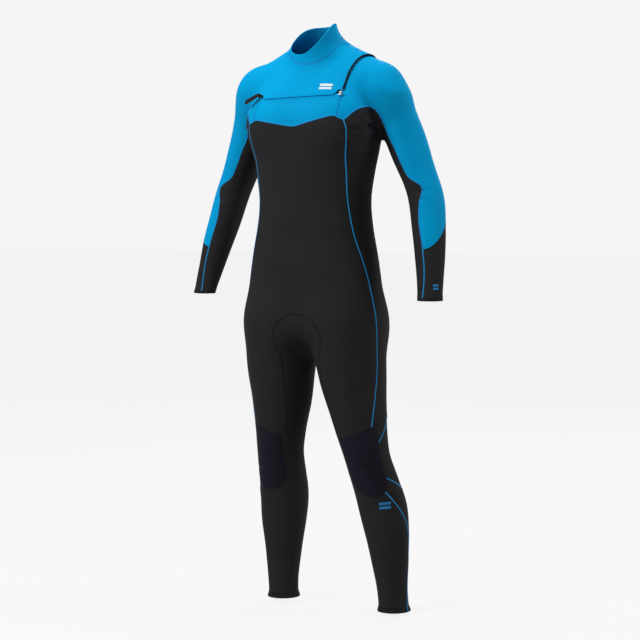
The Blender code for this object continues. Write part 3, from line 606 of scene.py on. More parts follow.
# Creases: centre, direction, half length, half width, depth, bow.
FOLDS = (
    ((0.170, -0.034, -0.1665), (0.25, 0.90, -0.12), 0.038, 0.0050, 0.0070, 0.0),
    ((0.161, -0.056, -0.178), (0.55, 0.75, 0.02), 0.044, 0.0055, 0.0074, -3.0),
    ((0.150, -0.075, -0.192), (0.60, 0.70, -0.10), 0.032, 0.0070, 0.0032, 0.0),
    ((-0.170, -0.034, -0.1665), (-0.25, 0.90, -0.12), 0.034, 0.0045, 0.0026, 0.0),
    ((-0.161, -0.056, -0.178), (-0.55, 0.75, 0.02), 0.040, 0.0055, 0.0028, 3.0),
    ((-0.128, -0.030, -1.042), (0.95, 0.02, -0.22), 0.040, 0.0050, 0.0026, 2.0),
    ((-0.126, -0.024, -1.062), (0.98, 0.05, 0.00), 0.034, 0.0045, 0.0016, 0.0),
    ((-0.140, -0.036, -1.008), (0.80, -0.30, -0.30), 0.026, 0.0060, 0.0022, 0.0),
    ((0.150, -0.040, -1.010), (0.95, 0.05, -0.12), 0.044, 0.0080, 0.0012, 0.0),
    ((0.152, -0.034, -1.045), (0.95, 0.05, 0.10), 0.040, 0.0070, 0.0012, 0.0),
    ((0.139, 0.072, -0.985), (1.0, 0.0, 0.06), 0.050, 0.0060, 0.0022, 0.0),
    ((0.141, 0.074, -1.005), (1.0, 0.0, -0.05), 0.042, 0.0055, 0.0018, 0.0),
    ((-0.115, 0.072, -0.985), (1.0, 0.0, -0.06), 0.050, 0.0060, 0.0022, 0.0),
    ((-0.115, 0.074, -1.006), (1.0, 0.0, 0.05), 0.042, 0.0055, 0.0018, 0.0),
    ((0.277, 0.016, -0.330), (1.0, 0.15, 0.10), 0.036, 0.0060, 0.0018, 0.0),
    ((0.279, 0.014, -0.346), (1.0, 0.10, -0.12), 0.032, 0.0055, 0.0015, 0.0),
    ((-0.282, 0.016, -0.330), (1.0, -0.15, -0.10), 0.036, 0.0060, 0.0018, 0.0),
    ((-0.284, 0.014, -0.346), (1.0, -0.10, 0.12), 0.032, 0.0055, 0.0015, 0.0),
    ((0.045, -0.095, -0.690), (0.55, 0.05, 0.83), 0.050, 0.0090, 0.0012, 0.0),
    ((-0.045, -0.095, -0.690), (-0.55, 0.05, 0.83), 0.050, 0.0090, 0.0012, 0.0),
    ((0.028, -0.066, -0.684), (0.05, 0.10, 1.0), 0.024, 0.0045, 0.0036, 0.0),
    ((0.010, -0.060, -0.698), (0.90, 0.20, -0.25), 0.026, 0.0050, 0.0026, 0.0),
    ((0.060, 0.100, -0.745), (1.0, 0.0, 0.25), 0.060, 0.0070, 0.0020, 0.0),
    ((-0.060, 0.100, -0.745), (1.0, 0.0, -0.25), 0.060, 0.0070, 0.0020, 0.0),
    ((0.074, 0.026, 0.040), (0.25, 1.0, 0.0), 0.022, 0.0038, -0.0026, 0.0),
    ((0.000, 0.100, -0.360), (1.0, 0.0, 0.03), 0.090, 0.0100, 0.0016, 0.0),
    ((0.010, 0.100, -0.390), (1.0, 0.0, -0.03), 0.080, 0.0090, 0.0012, 0.0),
)
FOLD_REACH = 0.028
HEM_FLARE = 0.0042
CUFF_FLARE = 0.0014
FLARE_REACH = 0.020
PAD_RAISE = 0.0012
# Slight unevenness everywhere: waves as three turns per metre and a start.
SEA_HEIGHT = 0.00022
SEA = ((31.0, 7.0, 43.0, 0.4), (-23.0, 19.0, 37.0, 1.9), (47.0, -29.0, 21.0, 4.1), (-13.0, 41.0, -55.0, 2.7))


def smoothstep(t):
    t = np.clip(t, 0, 1)
    return t * t * (3 - 2 * t)


def relief(p, n):
    """How far the finished surface, with its folds, flares and raised knee pads, stands above the form."""
    height = np.zeros(len(p))
    for a, b, c, phase in SEA:
        height += SEA_HEIGHT * np.sin(p @ np.array([a, b, c]) + phase)
    for centre, direction, length, width, depth, bow in FOLDS:
        q = p - np.array(centre)
        near = (q * q).sum(axis=1) < (length + 4 * width) ** 2
        if not near.any():
            continue
        q = q[near]
        out = n[near]
        t = np.array(direction) / np.linalg.norm(direction)
        middle = out[np.argmin((q * q).sum(axis=1))]
        across = np.cross(middle, t)
        across /= np.linalg.norm(across)
        s = q @ t
        d = (q @ across + bow * s**2) / width
        facing = (np.abs(q @ middle) < FOLD_REACH) & (out @ middle > 0)
        along = np.clip(1 - (s / length) ** 2, 0, 1) ** 1.5
        profile = -np.exp(-(d**2)) + 0.45 * np.exp(-((np.abs(d) - 1.9) ** 2))
        height[near] += depth * profile * along * facing
    for side in SIDES:
        q = mirrored(p, side)
        leg = (q[:, 0] > 0) & (p[:, 2] < LEGS_Z)
        arm = (q[:, 0] > 0.2) & (p[:, 2] > LEGS_Z)
        to_hem, to_cuff = (1 - (p[:, 2] - end[side]) / FLARE_REACH for end in (ANKLE_Z, WRIST_Z))
        height += leg * HEM_FLARE * smoothstep(to_hem) ** 1.6
        height += arm * CUFF_FLARE * smoothstep(to_cuff)
        near_pad = leg & (p[:, 2] > -1.2)
        if near_pad.any():
            height[near_pad] += PAD_RAISE * smoothstep(-knee_pad(side)(p[near_pad]) / 0.006)
    return height


def below(level):
    return lambda p: p[:, 2] - level


COLLAR_BLEND = 0.02
RIM_Z = 0.055
RIM_SLOPE = 0.95
RIM_TILT = 0.45
RIM_SIDE_CLIMB = 0.24
RIM_BACK_Z = 0.083
RIM_BACK_TILT = 0.06
BASE_Z = 0.036
BASE_SLOPE = 1.10
BASE_BACK_Z = 0.050


def collar_rim(p):
    """Below zero above the collar's rim, which is low in front, level behind and higher on the left."""
    aside = RIM_TILT * p[:, 0] + RIM_SIDE_CLIMB * np.hypot(p[:, 0], 0.01)
    height = RIM_Z + RIM_SLOPE * p[:, 1] + aside
    return smooth_union(height, RIM_BACK_Z + RIM_BACK_TILT * p[:, 0], COLLAR_BLEND) - p[:, 2]


def collar_base(p):
    height = BASE_Z + BASE_SLOPE * p[:, 1]
    return smooth_union(height, np.full(len(p), BASE_BACK_Z), COLLAR_BLEND) - p[:, 2]


def leg_turn(q, side):
    """Place around the leg, from -1 at its inner side to 1 at its outer side."""
    return (q[:, 0] - leg_centre(q[:, 2], side)) / curve_through(q[:, 2], LEG, 2)


# The knee pad: which way its middle faces at two heights, in degrees outwards, and half its width.
PAD_HEIGHTS = (-1.08, -0.93)
PAD_TURNS = (8.0, 17.0)
PAD_HALF_TURN = 51.0
PAD_HALF_WIDTH = 0.055
PAD_TOP_Z = -0.922
PAD_TOP_CLIMB = 0.020
PAD_ROUND_Z = -1.035
PAD_ROUND_HEIGHT = 0.048


def knee_pad(side):
    def field(p):
        q = mirrored(p, side)
        z = q[:, 2]
        front = q[:, 1] - curve_through(z, LEG, 1)
        angle = np.arctan2(leg_turn(q, side), -front / curve_through(z, LEG, 3))
        across = (np.degrees(angle) - np.interp(z, PAD_HEIGHTS, PAD_TURNS)) / PAD_HALF_TURN
        top = z - (PAD_TOP_Z + PAD_TOP_CLIMB * across)
        round_end = np.hypot(across, np.minimum(z - PAD_ROUND_Z, 0.0) / PAD_ROUND_HEIGHT) - 1.0
        return np.maximum(top, round_end * PAD_HALF_WIDTH)
    return field


def front_of_side_seam(p):
    return p[:, 1] - curve_through(p[:, 2], SIDE_SEAM)


def gusset_edge(z, side):
    """Half width of the crotch gusset, an arch in front that runs down the inside of each thigh."""
    arch = GUSSET_HALF_WIDTH * np.sqrt(np.clip(1 - ((z - GUSSET_ARCH_Z) / GUSSET_ARCH_HEIGHT) ** 2, 0, 1))
    turn = np.radians(np.interp(z, (-0.94, -0.76), (47, 33)))
    leg = leg_centre(z, side) - curve_through(z, LEG, 2) * np.sin(turn)
    s = smoothstep((GUSSET_ARCH_Z - z) / GUSSET_ARCH_HEIGHT)
    return np.where(z > GUSSET_ARCH_Z, arch, GUSSET_HALF_WIDTH * (1 - s) + leg * s)


def gusset(p):
    edge = np.where(p[:, 0] > 0, gusset_edge(p[:, 2], "left"), gusset_edge(p[:, 2], "right"))
    return np.maximum(np.abs(p[:, 0]) - edge, p[:, 1] - GUSSET_BACK_Y)


def front_of_shin_seam(side):
    """The seam is straight on the inside of the leg, and follows SHIN_SEAM on the outside."""
    def field(p):
        q = mirrored(p, side)
        s = smoothstep(0.5 + leg_turn(q, side))
        return q[:, 1] - (INNER_SHIN_SEAM_Y * (1 - s) + curve_through(q[:, 2], SHIN_SEAM) * s)
    return field


# The seam under the coloured top: in front a flat V as far as the corner, then a hook up to the armhole.
YOKE_MIDDLE_Z = -0.171
YOKE_CLIMB = 0.027
YOKE_CORNER_X = 0.110
YOKE_HOOK = (
    (YOKE_CORNER_X, 0.134, 0.146, 0.155, 0.162, 0.168, 0.174),
    (-0.144, -0.157, -0.140, -0.129, -0.1230, -0.1225, -0.1240),
)
# It lies lower on the wearer's right: distances out, shares of the drop.
YOKE_DROP = 0.008
YOKE_DROP_SHARES = ((0.0, YOKE_CORNER_X, 0.125, 0.146), (0, 1, 1, 0))
YOKE_BACK_Z = -0.150
YOKE_BACK_CLIMB = 0.10


def yoke_line(p):
    """Height of the seam between the coloured top and the black body."""
    out = np.abs(p[:, 0])
    chest = YOKE_MIDDLE_Z + YOKE_CLIMB * np.minimum(out / YOKE_CORNER_X, 1.0)
    lower = YOKE_DROP * np.interp(out, *YOKE_DROP_SHARES) * (p[:, 0] < 0)
    front = np.where(out < YOKE_CORNER_X, chest, np.interp(out, *YOKE_HOOK)) - lower
    return np.where(p[:, 1] < RIDGE_Y, front, YOKE_BACK_Z + YOKE_BACK_CLIMB * out)


def sleeve_inside(side):
    """Below zero on the black inner panel of the sleeve."""
    def field(p):
        q = mirrored(p, side)
        z = q[:, 2]
        seam = curve_through(z, SLEEVE_SEAM) + curve_through(z, ARM_HANG[side])
        back = arm_centre(z, side) - 0.35 * curve_through(z, ARM, 3)
        in_front = q[:, 1] < curve_through(z, ARM, 2)
        across = q[:, 0] - np.where(in_front, seam, back)
        return np.maximum(across, z - np.where(in_front, *SLEEVE_SEAM_TOPS))
    return field


def under_seam(height, slope, y_start):
    """Below zero under a seam that climbs towards the back."""
    return lambda p: p[:, 2] - (height + slope * (p[:, 1] - y_start))


# Such seams on the forearm, under the seat and at the waist: height, slope, the y of that height.
FOREARM_SEAM = (-0.475, 0.92, -0.010)
SEAT_SEAM = (-0.56, 0.75, -0.031)
WAIST_SEAM = (-0.38, 0.53, -0.055)
WRIST_PANEL_TOP_Z = -0.40


def beyond_armhole(side):
    """Below zero past the armhole, which leans outwards below the armpit."""
    def field(p):
        q = mirrored(p, side)
        return ARMHOLE_X + ARMHOLE_LEAN * np.maximum(ARMPIT_Z - q[:, 2], 0.0) - q[:, 0]
    return field


def back_strip(p):
    return np.maximum(np.abs(p[:, 0]) - BACK_PANEL_HALF_WIDTH, 0.03 - p[:, 1])


def lip_line(x):
    """Height of the flap's lower lip, which climbs towards the wearer's left."""
    return ZIP_Z - LIP_DROP + LIP_CLIMB * np.clip(x - LIP_START_X, 0.0, 0.20)


def lip_foot(x):
    """Height of the flap's lower lip, which rises at the slider and at the retainer box."""
    rise = np.maximum(
        smoothstep((LIP_RIGHT_X - x) / LIP_RIGHT_RUN), smoothstep((x - LIP_LEFT_X) / LIP_LEFT_RUN))
    return lip_line(x) + LIP_END_RISE * rise


def left_of_slit(p):
    return curve_through(p[:, 1], FLAP_EDGE) - p[:, 0]


def binding_strip(p):
    foot = np.where(p[:, 1] < RIDGE_Y, lip_foot(p[:, 0]), SLIT_END_Z)
    return np.maximum(left_of_slit(p) - BINDING_WIDTH, foot - p[:, 2])


# Where an arm's bending region begins: heights, distances out.
ARM_START = ((-0.60, -0.21, -0.19, 0.10), (0.252, 0.174, 0.1662, 0.2369))


def on_arm(side):
    return lambda p: np.interp(p[:, 2], *ARM_START) - mirrored(p, side)[:, 0]


def chest_zone(p):
    top = np.maximum(lip_foot(p[:, 0]), lip_line(p[:, 0]) + CHEST_TOP_RISE)
    return np.maximum(np.maximum(np.abs(p[:, 0]) - ZIP_HALF_LENGTH, p[:, 1]), p[:, 2] - top)


def knee_back_top(side):
    """Below zero under the seam above the back of the knee, which climbs backwards on the leg's outside."""
    def field(p):
        q = mirrored(p, side)
        top = KNEE_BACK_Z + q[:, 1] * (0.45 + 0.65 * leg_turn(q, side))
        return np.maximum(q[:, 2] - top, -q[:, 0])
    return field


def knee_back_foot(side):
    """Below zero under the seam below the back of the knee, which is lowest behind."""
    def field(p):
        q = mirrored(p, side)
        back = (q[:, 1] - curve_through(q[:, 2], LEG, 1)) / curve_through(q[:, 2], LEG, 4)
        return np.maximum(q[:, 2] - KNEE_BACK_FOOT_Z + KNEE_BACK_FOOT_DROP * back, -q[:, 0])
    return field


def on_leg(field, side):
    return lambda p: np.maximum(field(p), -mirrored(p, side)[:, 0])


def cut_arm_panels(skin, side):
    name = side + "_sleeve"
    skin.cut(beyond_armhole(side), name, {"lower"})
    wrist = below(WRIST_Z[side])
    skin.cut(wrist, "open", {name})
    skin.cut(sleeve_inside(side), name + "_inner", {name})
    skin.cut(
        lambda p: np.maximum(under_seam(*FOREARM_SEAM)(p), p[:, 2] - WRIST_PANEL_TOP_Z),
        side + "_wrist_panel", {name})
    skin.cut(below(WRIST_Z[side] + CUFF_HEIGHT), side + "_cuff", {side + "_wrist_panel", name + "_inner"})


def cut_leg_panels(skin, side):
    skin.cut(on_leg(below(ANKLE_Z[side]), side), "open", {"lower"})
    skin.cut(knee_pad(side), side + "_knee_pad", {"lower"})
    skin.cut(knee_back_top(side), side + "_knee_back", {"lower"})
    skin.cut(knee_back_foot(side), side + "_calf_panel", {side + "_knee_back"})
    skin.cut(below(ANKLE_Z[side] + HEM_HEIGHT), side + "_ankle_hem", {side + "_calf_panel"})
    skin.cut(front_of_shin_seam(side), side + "_shin_panel", {side + "_calf_panel"})
    skin.cut(front_of_shin_seam(side), side + "_ankle_hem_front", {side + "_ankle_hem"})


def cut_panels(skin):
    skin.cut(collar_rim, "open", {"lower"})
    skin.cut(collar_base, "collar", {"lower"})
    for side in SIDES:
        cut_arm_panels(skin, side)
        cut_leg_panels(skin, side)
    skin.cut(lambda p: yoke_line(p) - p[:, 2], "yoke", {"lower"})
    skin.tags[skin.tags[:, PANEL] == "right_sleeve", PANEL] = "yoke"
    skin.cut(left_of_slit, "left_sleeve", {"yoke"})
    skin.cut(binding_strip, "flap_binding", {"yoke"})
    skin.cut(chest_zone, "lip_overlap", {"yoke", "flap_binding"})
    skin.cut(lambda p: p[:, 2] - lip_foot(p[:, 0]), "chest_panel", {"lip_overlap"})
    skin.cut(lambda p: lip_line(p[:, 0]) + CHEST_TOP_RISE - p[:, 2], "open", {"chest_panel"})
    skin.cut(gusset, "crotch_gusset", {"lower"})
    skin.cut(front_of_side_seam, "front_body", {"lower"})
    skin.cut(under_seam(*SEAT_SEAM), "seat_panel", {"lower"})
    skin.cut(back_strip, "back_panel", {"lower"})
    for side in SIDES:
        waist = side + "_waist_panel"
        skin.cut(lambda p: -mirrored(p, side)[:, 0], waist, {"lower"})
        skin.cut(lambda p: -under_seam(*WAIST_SEAM)(p), side + "_side_panel", {waist})
    skin.drop("open")
    skin.merge_scraps()


FLAP_PANELS = ("yoke", "flap_binding", "lip_overlap", "collar")
# Where the suit bends: the two bodies, and the points between which one hands over to the other.
BENDS = {
    "flap": ("torso", "entry_flap", (-0.165, 0.0, -0.0295), (-0.1065, 0.0, -0.0015)),
    "nape": ("torso", "entry_flap", (0.0, 0.115, -0.075), (0.0, 0.088, -0.005)),
}
for side, sign in SIDES.items():
    BENDS[side + "_arm"] = (
        "torso", side + "_upper_arm", (sign * 0.165, 0.0, -0.195), (sign * 0.2087, 0.0, -0.2057))
    BENDS[side + "_elbow"] = (
        side + "_upper_arm", side + "_forearm", (sign * 0.262, 0.0, -0.285), (sign * 0.288, 0.0, -0.39))
    BENDS[side + "_hip"] = ("torso", side + "_thigh", (0.0, 0.0, -0.755), (sign * 0.058, 0.0, -0.8408))
    BENDS[side + "_knee"] = (side + "_thigh", side + "_shin", (0.0, 0.0, -0.92), (0.0, 0.0, -1.04))


def share(p, region):
    """How far a point lies from the start of a bend towards its end."""
    start, end = (np.array(v) for v in BENDS[region][2:])
    along = end - start
    return (p - start) @ along / (along @ along)


def nape_zone(p):
    return np.maximum(share(p, "nape") - np.minimum(share(p, "flap"), 1.0), 0.03 - p[:, 1])


def cut_regions(skin):
    for side in SIDES:
        sign = SIDES[side]
        skin.cut(on_arm(side), side + "_arm", {"torso"}, REGION)
        skin.cut(lambda p: -share(p, side + "_elbow"), side + "_elbow", {side + "_arm"}, REGION)
        skin.cut(
            lambda p: np.maximum(-share(p, side + "_hip"), -sign * p[:, 0]),
            side + "_hip", {"torso"}, REGION)
        skin.cut(below(KNEE_REGION_Z), side + "_knee", {side + "_hip"}, REGION)
    skin.cut(lambda p: -share(p, "flap"), "flap", {"torso"}, REGION, FLAP_PANELS)
    skin.cut(nape_zone, "nape", {"flap"}, REGION, FLAP_PANELS)


def make_skin():
    axes = [np.arange(low, high, NET_STEP) for low, high in NET_RANGES]
    points, quads = surface_net(suit_form, axes)
    points = onto_form(points, 3)
    points, quads = halved(points, quads)
    faces = triangles_of(points, quads)
    points = onto_form(points, 2)
    spread(points, edges_of(faces), np.ones(len(points), bool), 0.5, 2)
    return Skin(points, faces)


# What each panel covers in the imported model, by bending region.
NODES = {
    ("yoke", "torso"): ["right_shoulder"], ("yoke", "flap"): ["front_yoke"], ("yoke", "nape"): ["back_yoke"],
    ("yoke", "right_arm"): ["right_upper_arm"], ("yoke", "right_elbow"): ["right_forearm"],
    ("left_sleeve", "torso"): ["left_shoulder"], ("left_sleeve", "left_arm"): ["left_upper_arm"],
    ("left_sleeve", "left_elbow"): ["left_forearm"],
}
for side in SIDES:
    NODES[f"{side}_sleeve_inner", side + "_arm"] = [side + "_upper_arm_inner"]
    NODES[f"{side}_sleeve_inner", side + "_elbow"] = [side + "_forearm_inner"]
    NODES["front_body", side + "_hip"] = [side + "_thigh_front"]
    NODES["seat_panel", side + "_hip"] = [side + "_thigh"]
    NODES["crotch_gusset", side + "_hip"] = [side + "_thigh_inner"]

BLUE_PANELS = ("yoke", "left_sleeve", "chest_panel", "collar")
SHARED_PANELS = {"yoke": ("yoke", "lip_overlap"), "chest_panel": ("chest_panel", "lip_overlap")}


def slit_rise(p):
    """How far the flap's edge stands up where it crosses the shoulder."""
    near = smoothstep(1 - left_of_slit(p) / 0.040)
    return SLIT_RISE * near * smoothstep((p[:, 2] + 0.075) / 0.045) * smoothstep((0.085 - p[:, 1]) / 0.05)


def lip_rise(p):
    """How far the flap's lip stands above the chest panel that it overlaps."""
    near = smoothstep((lip_foot(p[:, 0]) + LIP_REACH - p[:, 2]) / LIP_REACH)
    ends = smoothstep((p[:, 0] + ZIP_HALF_LENGTH) / 0.030) * (p[:, 1] < 0) * (p[:, 2] > -0.14)
    return LIP_RISE * near * ends


def part_fans(faces):
    """Faces renumbered so that no point joins two separate fans of the same panel."""
    faces = faces.copy()
    directed = {(a, b) for f in faces.tolist() for a, b in ((f[0], f[1]), (f[1], f[2]), (f[2], f[0]))}
    leaving = [a for a, b in directed if (b, a) not in directed]
    numbers, counts = np.unique(leaving, return_counts=True)
    source = {}
    top = faces.max() + 1
    for vertex in numbers[counts > 1]:
        groups = []
        for k in np.flatnonzero((faces == vertex).any(axis=1)):
            others = set(faces[k].tolist()) - {vertex}
            merged = ([k], others)
            for g in [g for g in groups if g[1] & others]:
                merged = (merged[0] + g[0], merged[1] | g[1])
                groups.remove(g)
            groups.append(merged)
        for members, _ in groups[1:]:
            for k in members:
                faces[k][faces[k] == vertex] = top
            source[top] = vertex
            top += 1
    return faces, source


class Sheet:
    """One panel as a closed sheet of neoprene with a rounded edge, and its outline."""

    def __init__(self, skin, name):
        mask = np.isin(skin.tags[:, PANEL], SHARED_PANELS.get(name, (name,)))
        faces, source = part_fans(skin.faces[mask])
        used, faces = np.unique(faces, return_inverse=True)
        self.faces = faces.reshape(-1, 3)
        self.regions = skin.tags[mask, REGION]
        used = [source.get(k, k) for k in used]
        flat = skin.points[used]
        self.normal = skin.normals[used]
        rise = np.zeros(len(used))
        if name in ("yoke", "flap_binding"):
            rise = np.where(flat[:, 0] > 0, slit_rise(flat), 0.0)
            rise += lip_rise(flat) + (BINDING_RISE if name == "flap_binding" else 0.0)
        self.top = skin.shown[used] + self.normal * rise[:, None]
        self.frame_edges()

    def frame_edges(self):
        """Draw the surface in from the outline, and sink the outline below it."""
        directed = {}
        for k, (a, b, c) in enumerate(self.faces.tolist()):
            directed.update({(a, b): k, (b, c): k, (c, a): k})
        self.border = {e: k for e, k in directed.items() if (e[1], e[0]) not in directed}
        inward = [[] for _ in self.top]
        for a, b in self.border:
            for k in (a, b):
                m = np.cross(self.normal[k], self.top[b] - self.top[a])
                inward[k].append(m / np.linalg.norm(m))
        self.edge = self.top.copy()
        self.edge_normal = self.normal.copy()
        self.lining = self.top - self.normal * NEOPRENE
        for k, found in enumerate(inward):
            if found:
                m = found[0] + found[-1]
                m /= max(np.linalg.norm(m), 0.3)
                self.edge[k] = self.top[k] - self.normal[k] * EDGE_SINK
                self.top[k] = self.top[k] + m * EDGE_WIDTH
                tilted = self.normal[k] * 0.6 - m * 0.8
                self.edge_normal[k] = tilted / np.linalg.norm(tilted)

    def piece(self, region):
        """Points, faces, corner normals and slots of the part that lies in one region."""
        count = len(self.top)
        points = np.concatenate([self.top, self.edge, self.lining])
        normals = np.concatenate([self.normal, self.edge_normal, -self.normal])
        inside = self.regions == region
        chosen = self.faces[inside]
        directed = {e for f in chosen.tolist() for e in ((f[0], f[1]), (f[1], f[2]), (f[2], f[0]))}
        faces = [tuple(f) for f in chosen.tolist()]
        slots = [0] * len(faces)
        faces += [tuple(f) for f in (chosen[:, ::-1] + 2 * count).tolist()]
        slots += [1] * len(chosen)
        rim = set()
        for a, b in sorted(directed):
            if (b, a) in directed:
                continue
            if (a, b) in self.border:
                faces += [(b, a, a + count, b + count), (b + count, a + count, a + 2 * count, b + 2 * count)]
                slots += [0, 1]
                rim |= {a, b}
            else:
                faces.append((b, a, a + 2 * count, b + 2 * count))
                slots.append(1)
        for a, b in sorted(directed):
            if (b, a) not in directed and (a, b) not in self.border:
                if a in rim:
                    faces.append((a, a + count, a + 2 * count))
                    slots.append(1)
                if b in rim:
                    faces.append((b, b + 2 * count, b + count))
                    slots.append(1)
        return points, faces, normals, slots


def new_object(name, points, faces, looks, slots=None, normals=None, uv=None):
    """A mesh object in the suit's frame, without the points that no face uses."""
    used = sorted({k for f in faces for k in f})
    number = {k: i for i, k in enumerate(used)}
    mesh = bpy.data.meshes.new(name)
    places = [tuple(map(float, points[k])) for k in used]
    mesh.from_pydata(places, [], [[number[k] for k in f] for f in faces])
    for look in looks:
        mesh.materials.append(look)
    if slots is not None:
        mesh.polygons.foreach_set("material_index", slots)
    mesh.polygons.foreach_set("use_smooth", [True] * len(mesh.polygons))
    if uv is not None:
        layer = mesh.uv_layers.new(name="along")
        for loop in mesh.loops:
            layer.data[loop.index].uv = uv[used[loop.vertex_index]]
    mesh.update()
    if normals is not None:
        mesh.normals_split_custom_set([tuple(map(float, normals[k])) for f in faces for k in f])
    made = bpy.data.objects.new(name, mesh)
    bpy.context.scene.collection.objects.link(made)
    return made


def hang(piece, region):
    """Attach a finished piece to the body of its region; a piece in a bending region only keeps its place.
    """
    if region in BENDS:
        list(BENDS[region])
        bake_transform(piece)
    else:
        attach(piece, region)


def outer_area(points, faces, slots):
    """Area of the faces in the first slot."""
    total = 0.0
    for f, slot in zip(faces, slots):
        if slot == 0:
            a = points[f[0]]
            for k in range(1, len(f) - 1):
                total += np.linalg.norm(np.cross(points[f[k]] - a, points[f[k + 1]] - a)) / 2
    return total


def panel_slot(name):
    if name in BLUE_PANELS:
        return "blue_neoprene"
    if "knee_pad" in name:
        return "knee_pad_fabric"
    if "cuff" in name or "hem" in name:
        return "hem_neoprene"
    return "zip_tape" if name == "flap_binding" else "black_neoprene"


def add_panels(skin, looks):
    for name in sorted(set(skin.tags[:, PANEL]) - {"lip_overlap"}):
        sheet = Sheet(skin, name)
        slot = panel_slot(name)
        # The collar and the yoke are lined with the blue that is painted brighter to stand in for the light
        # inside the collar.
        lining = looks["painted_light_collar_lining" if name in ("collar", "yoke") else "lining"]
        for region in sorted(set(sheet.regions)):
            points, faces, normals, slots = sheet.piece(region)
            plain = region == "torso" or name == "collar" and region == "flap"
            label = name if plain else f"{name}_{region}"
            piece = new_object(label, points, faces, (looks[slot], lining), slots, normals)
            size = np.ptp(points[sorted({k for f in faces for k in f})], axis=0)
            area = outer_area(points, faces, slots)
            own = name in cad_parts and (region == "torso" or name not in ("front_body", "seat_panel"))
            nodes = NODES.get((name, region), [name] if own else [])
            if nodes:
                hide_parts(*nodes)
            hang(piece, "entry_flap" if name == "collar" else region)


LINE_STEP = 0.004


def chains(edges):
    """Runs of joined edges as lists of point numbers."""
    near = {}
    for a, b in edges:
        near.setdefault(a, []).append(b)
        near.setdefault(b, []).append(a)
    used = set()
    runs = []
    for start in [v for v in near if len(near[v]) != 2] + list(near):
        for following in near[start]:
            if (start, following) in used:
                continue
            run = [start]
            a, b = start, following
            while True:
                used |= {(a, b), (b, a)}
                run.append(b)
                if len(near[b]) != 2:
                    break
                c = near[b][0] if near[b][0] != a else near[b][1]
                if (b, c) in used:
                    break
                a, b = b, c
            runs.append(run)
    return runs


def smooth_line(values, closed):
    for _ in range(3):
        before = np.roll(values, 1, axis=0)
        after = np.roll(values, -1, axis=0)
        eased = 0.5 * values + 0.25 * (before + after)
        if not closed:
            eased[0] = values[0]
            eased[-1] = values[-1]
        values = eased
    return values


def resampled(line, normals, closed):
    """The line with points LINE_STEP apart, its normals there, and how far along each point lies."""
    if closed:
        line = np.concatenate([line, line[:1]])
        normals = np.concatenate([normals, normals[:1]])
    length = np.concatenate([[0.0], np.cumsum(np.linalg.norm(np.diff(line, axis=0), axis=1))])
    at = np.linspace(0, length[-1], max(int(length[-1] / LINE_STEP), 2) + 1)
    line, normals = (
        np.column_stack([np.interp(at, length, v[:, k]) for k in range(3)]) for v in (line, normals)
    )
    normals /= np.linalg.norm(normals, axis=1)[:, None]
    if closed:
        return line[:-1], normals[:-1], at[:-1]
    return line, normals, at


def ribbon(line, normals, profile, closed=False, at=None):
    """Points, faces and texture places of a closed strip; profile is its section, (across, height)."""
    if closed:
        along = np.roll(line, -1, axis=0) - np.roll(line, 1, axis=0)
    else:
        along = np.gradient(line, axis=0)
    across = np.cross(along, normals)
    across /= np.linalg.norm(across, axis=1)[:, None]
    rings = np.stack([line + across * u + normals * h for u, h in profile], axis=1)
    size = len(profile)
    count = len(line)
    faces = []
    for i in range(count if closed else count - 1):
        j = (i + 1) % count
        for k in range(size):
            m = (k + 1) % size
            faces.append((i * size + k, i * size + m, j * size + m, j * size + k))
    if not closed:
        faces.append(tuple(reversed(range(size))))
        faces.append(tuple(range((count - 1) * size, count * size)))
    at = np.arange(count) * LINE_STEP if at is None else at
    uv = [(float(s), float(u)) for s in at for u, _ in profile]
    return rings.reshape(-1, 3), faces, uv


def dome(half_width, height, offset=0.0, sink=0.0012):
    """Section of a seam's tape: a low arch on a foot that reaches sink below the surface."""
    arch = ((-1, -sink), (1, -sink), (1, 0.1 * height), (0.62, 0.8 * height), (0, height),
            (-0.62, 0.8 * height), (-1, 0.1 * height))
    return [(offset + u * half_width, h) for u, h in arch]


SEAM_PROFILES = {
    "piping": [dome(0.0015, 0.0009)],
    "fine_black": [dome(0.0015, 0.0005)],
    "fine_blue": [dome(0.0012, 0.0003)],
    "collar_stitch": [dome(0.0006, 0.0004, -0.0022), dome(0.0006, 0.0004, 0.0022), dome(0.0010, 0.0001)],
}


def seam_style(first, second, middle):
    """How the seam between two panels is finished."""
    pair = {first, second}
    under_lip = pair <= {"yoke", "lip_overlap", "chest_panel"}
    if "flap_binding" in pair or under_lip and middle[2] > lip_line(middle[0]) + CHEST_TOP_RISE - 0.002:
        return None
    if "collar" in pair:
        return "collar_stitch"
    blue = len(pair & {*BLUE_PANELS, "lip_overlap"})
    if blue == 2:
        return "fine_blue"
    names = " ".join(sorted(pair))
    if blue == 1:
        return "fine_black" if "wrist_panel" in names else "piping"
    if "wrist_panel" in names and "sleeve_inner" in names:
        return "piping"
    if "gusset" in names or "knee_pad" in names or "cuff" in names:
        return "fine_black"
    side = "left" if middle[0] > 0 else "right"
    outside = leg_turn(mirrored(middle[None], side), side)[0] > 0
    if "front_body" in names:
        return "piping" if outside or middle[2] > LEGS_Z else "fine_black"
    leg_seams = ({"knee_back", "seat_panel"}, {"knee_back", "calf_panel"}, {"shin_panel", "calf_panel"},
                 {"ankle_hem", "ankle_hem_front"})
    plain = {n.replace(side + "_", "") for n in pair}
    return "piping" if outside and plain in leg_seams else "fine_black"


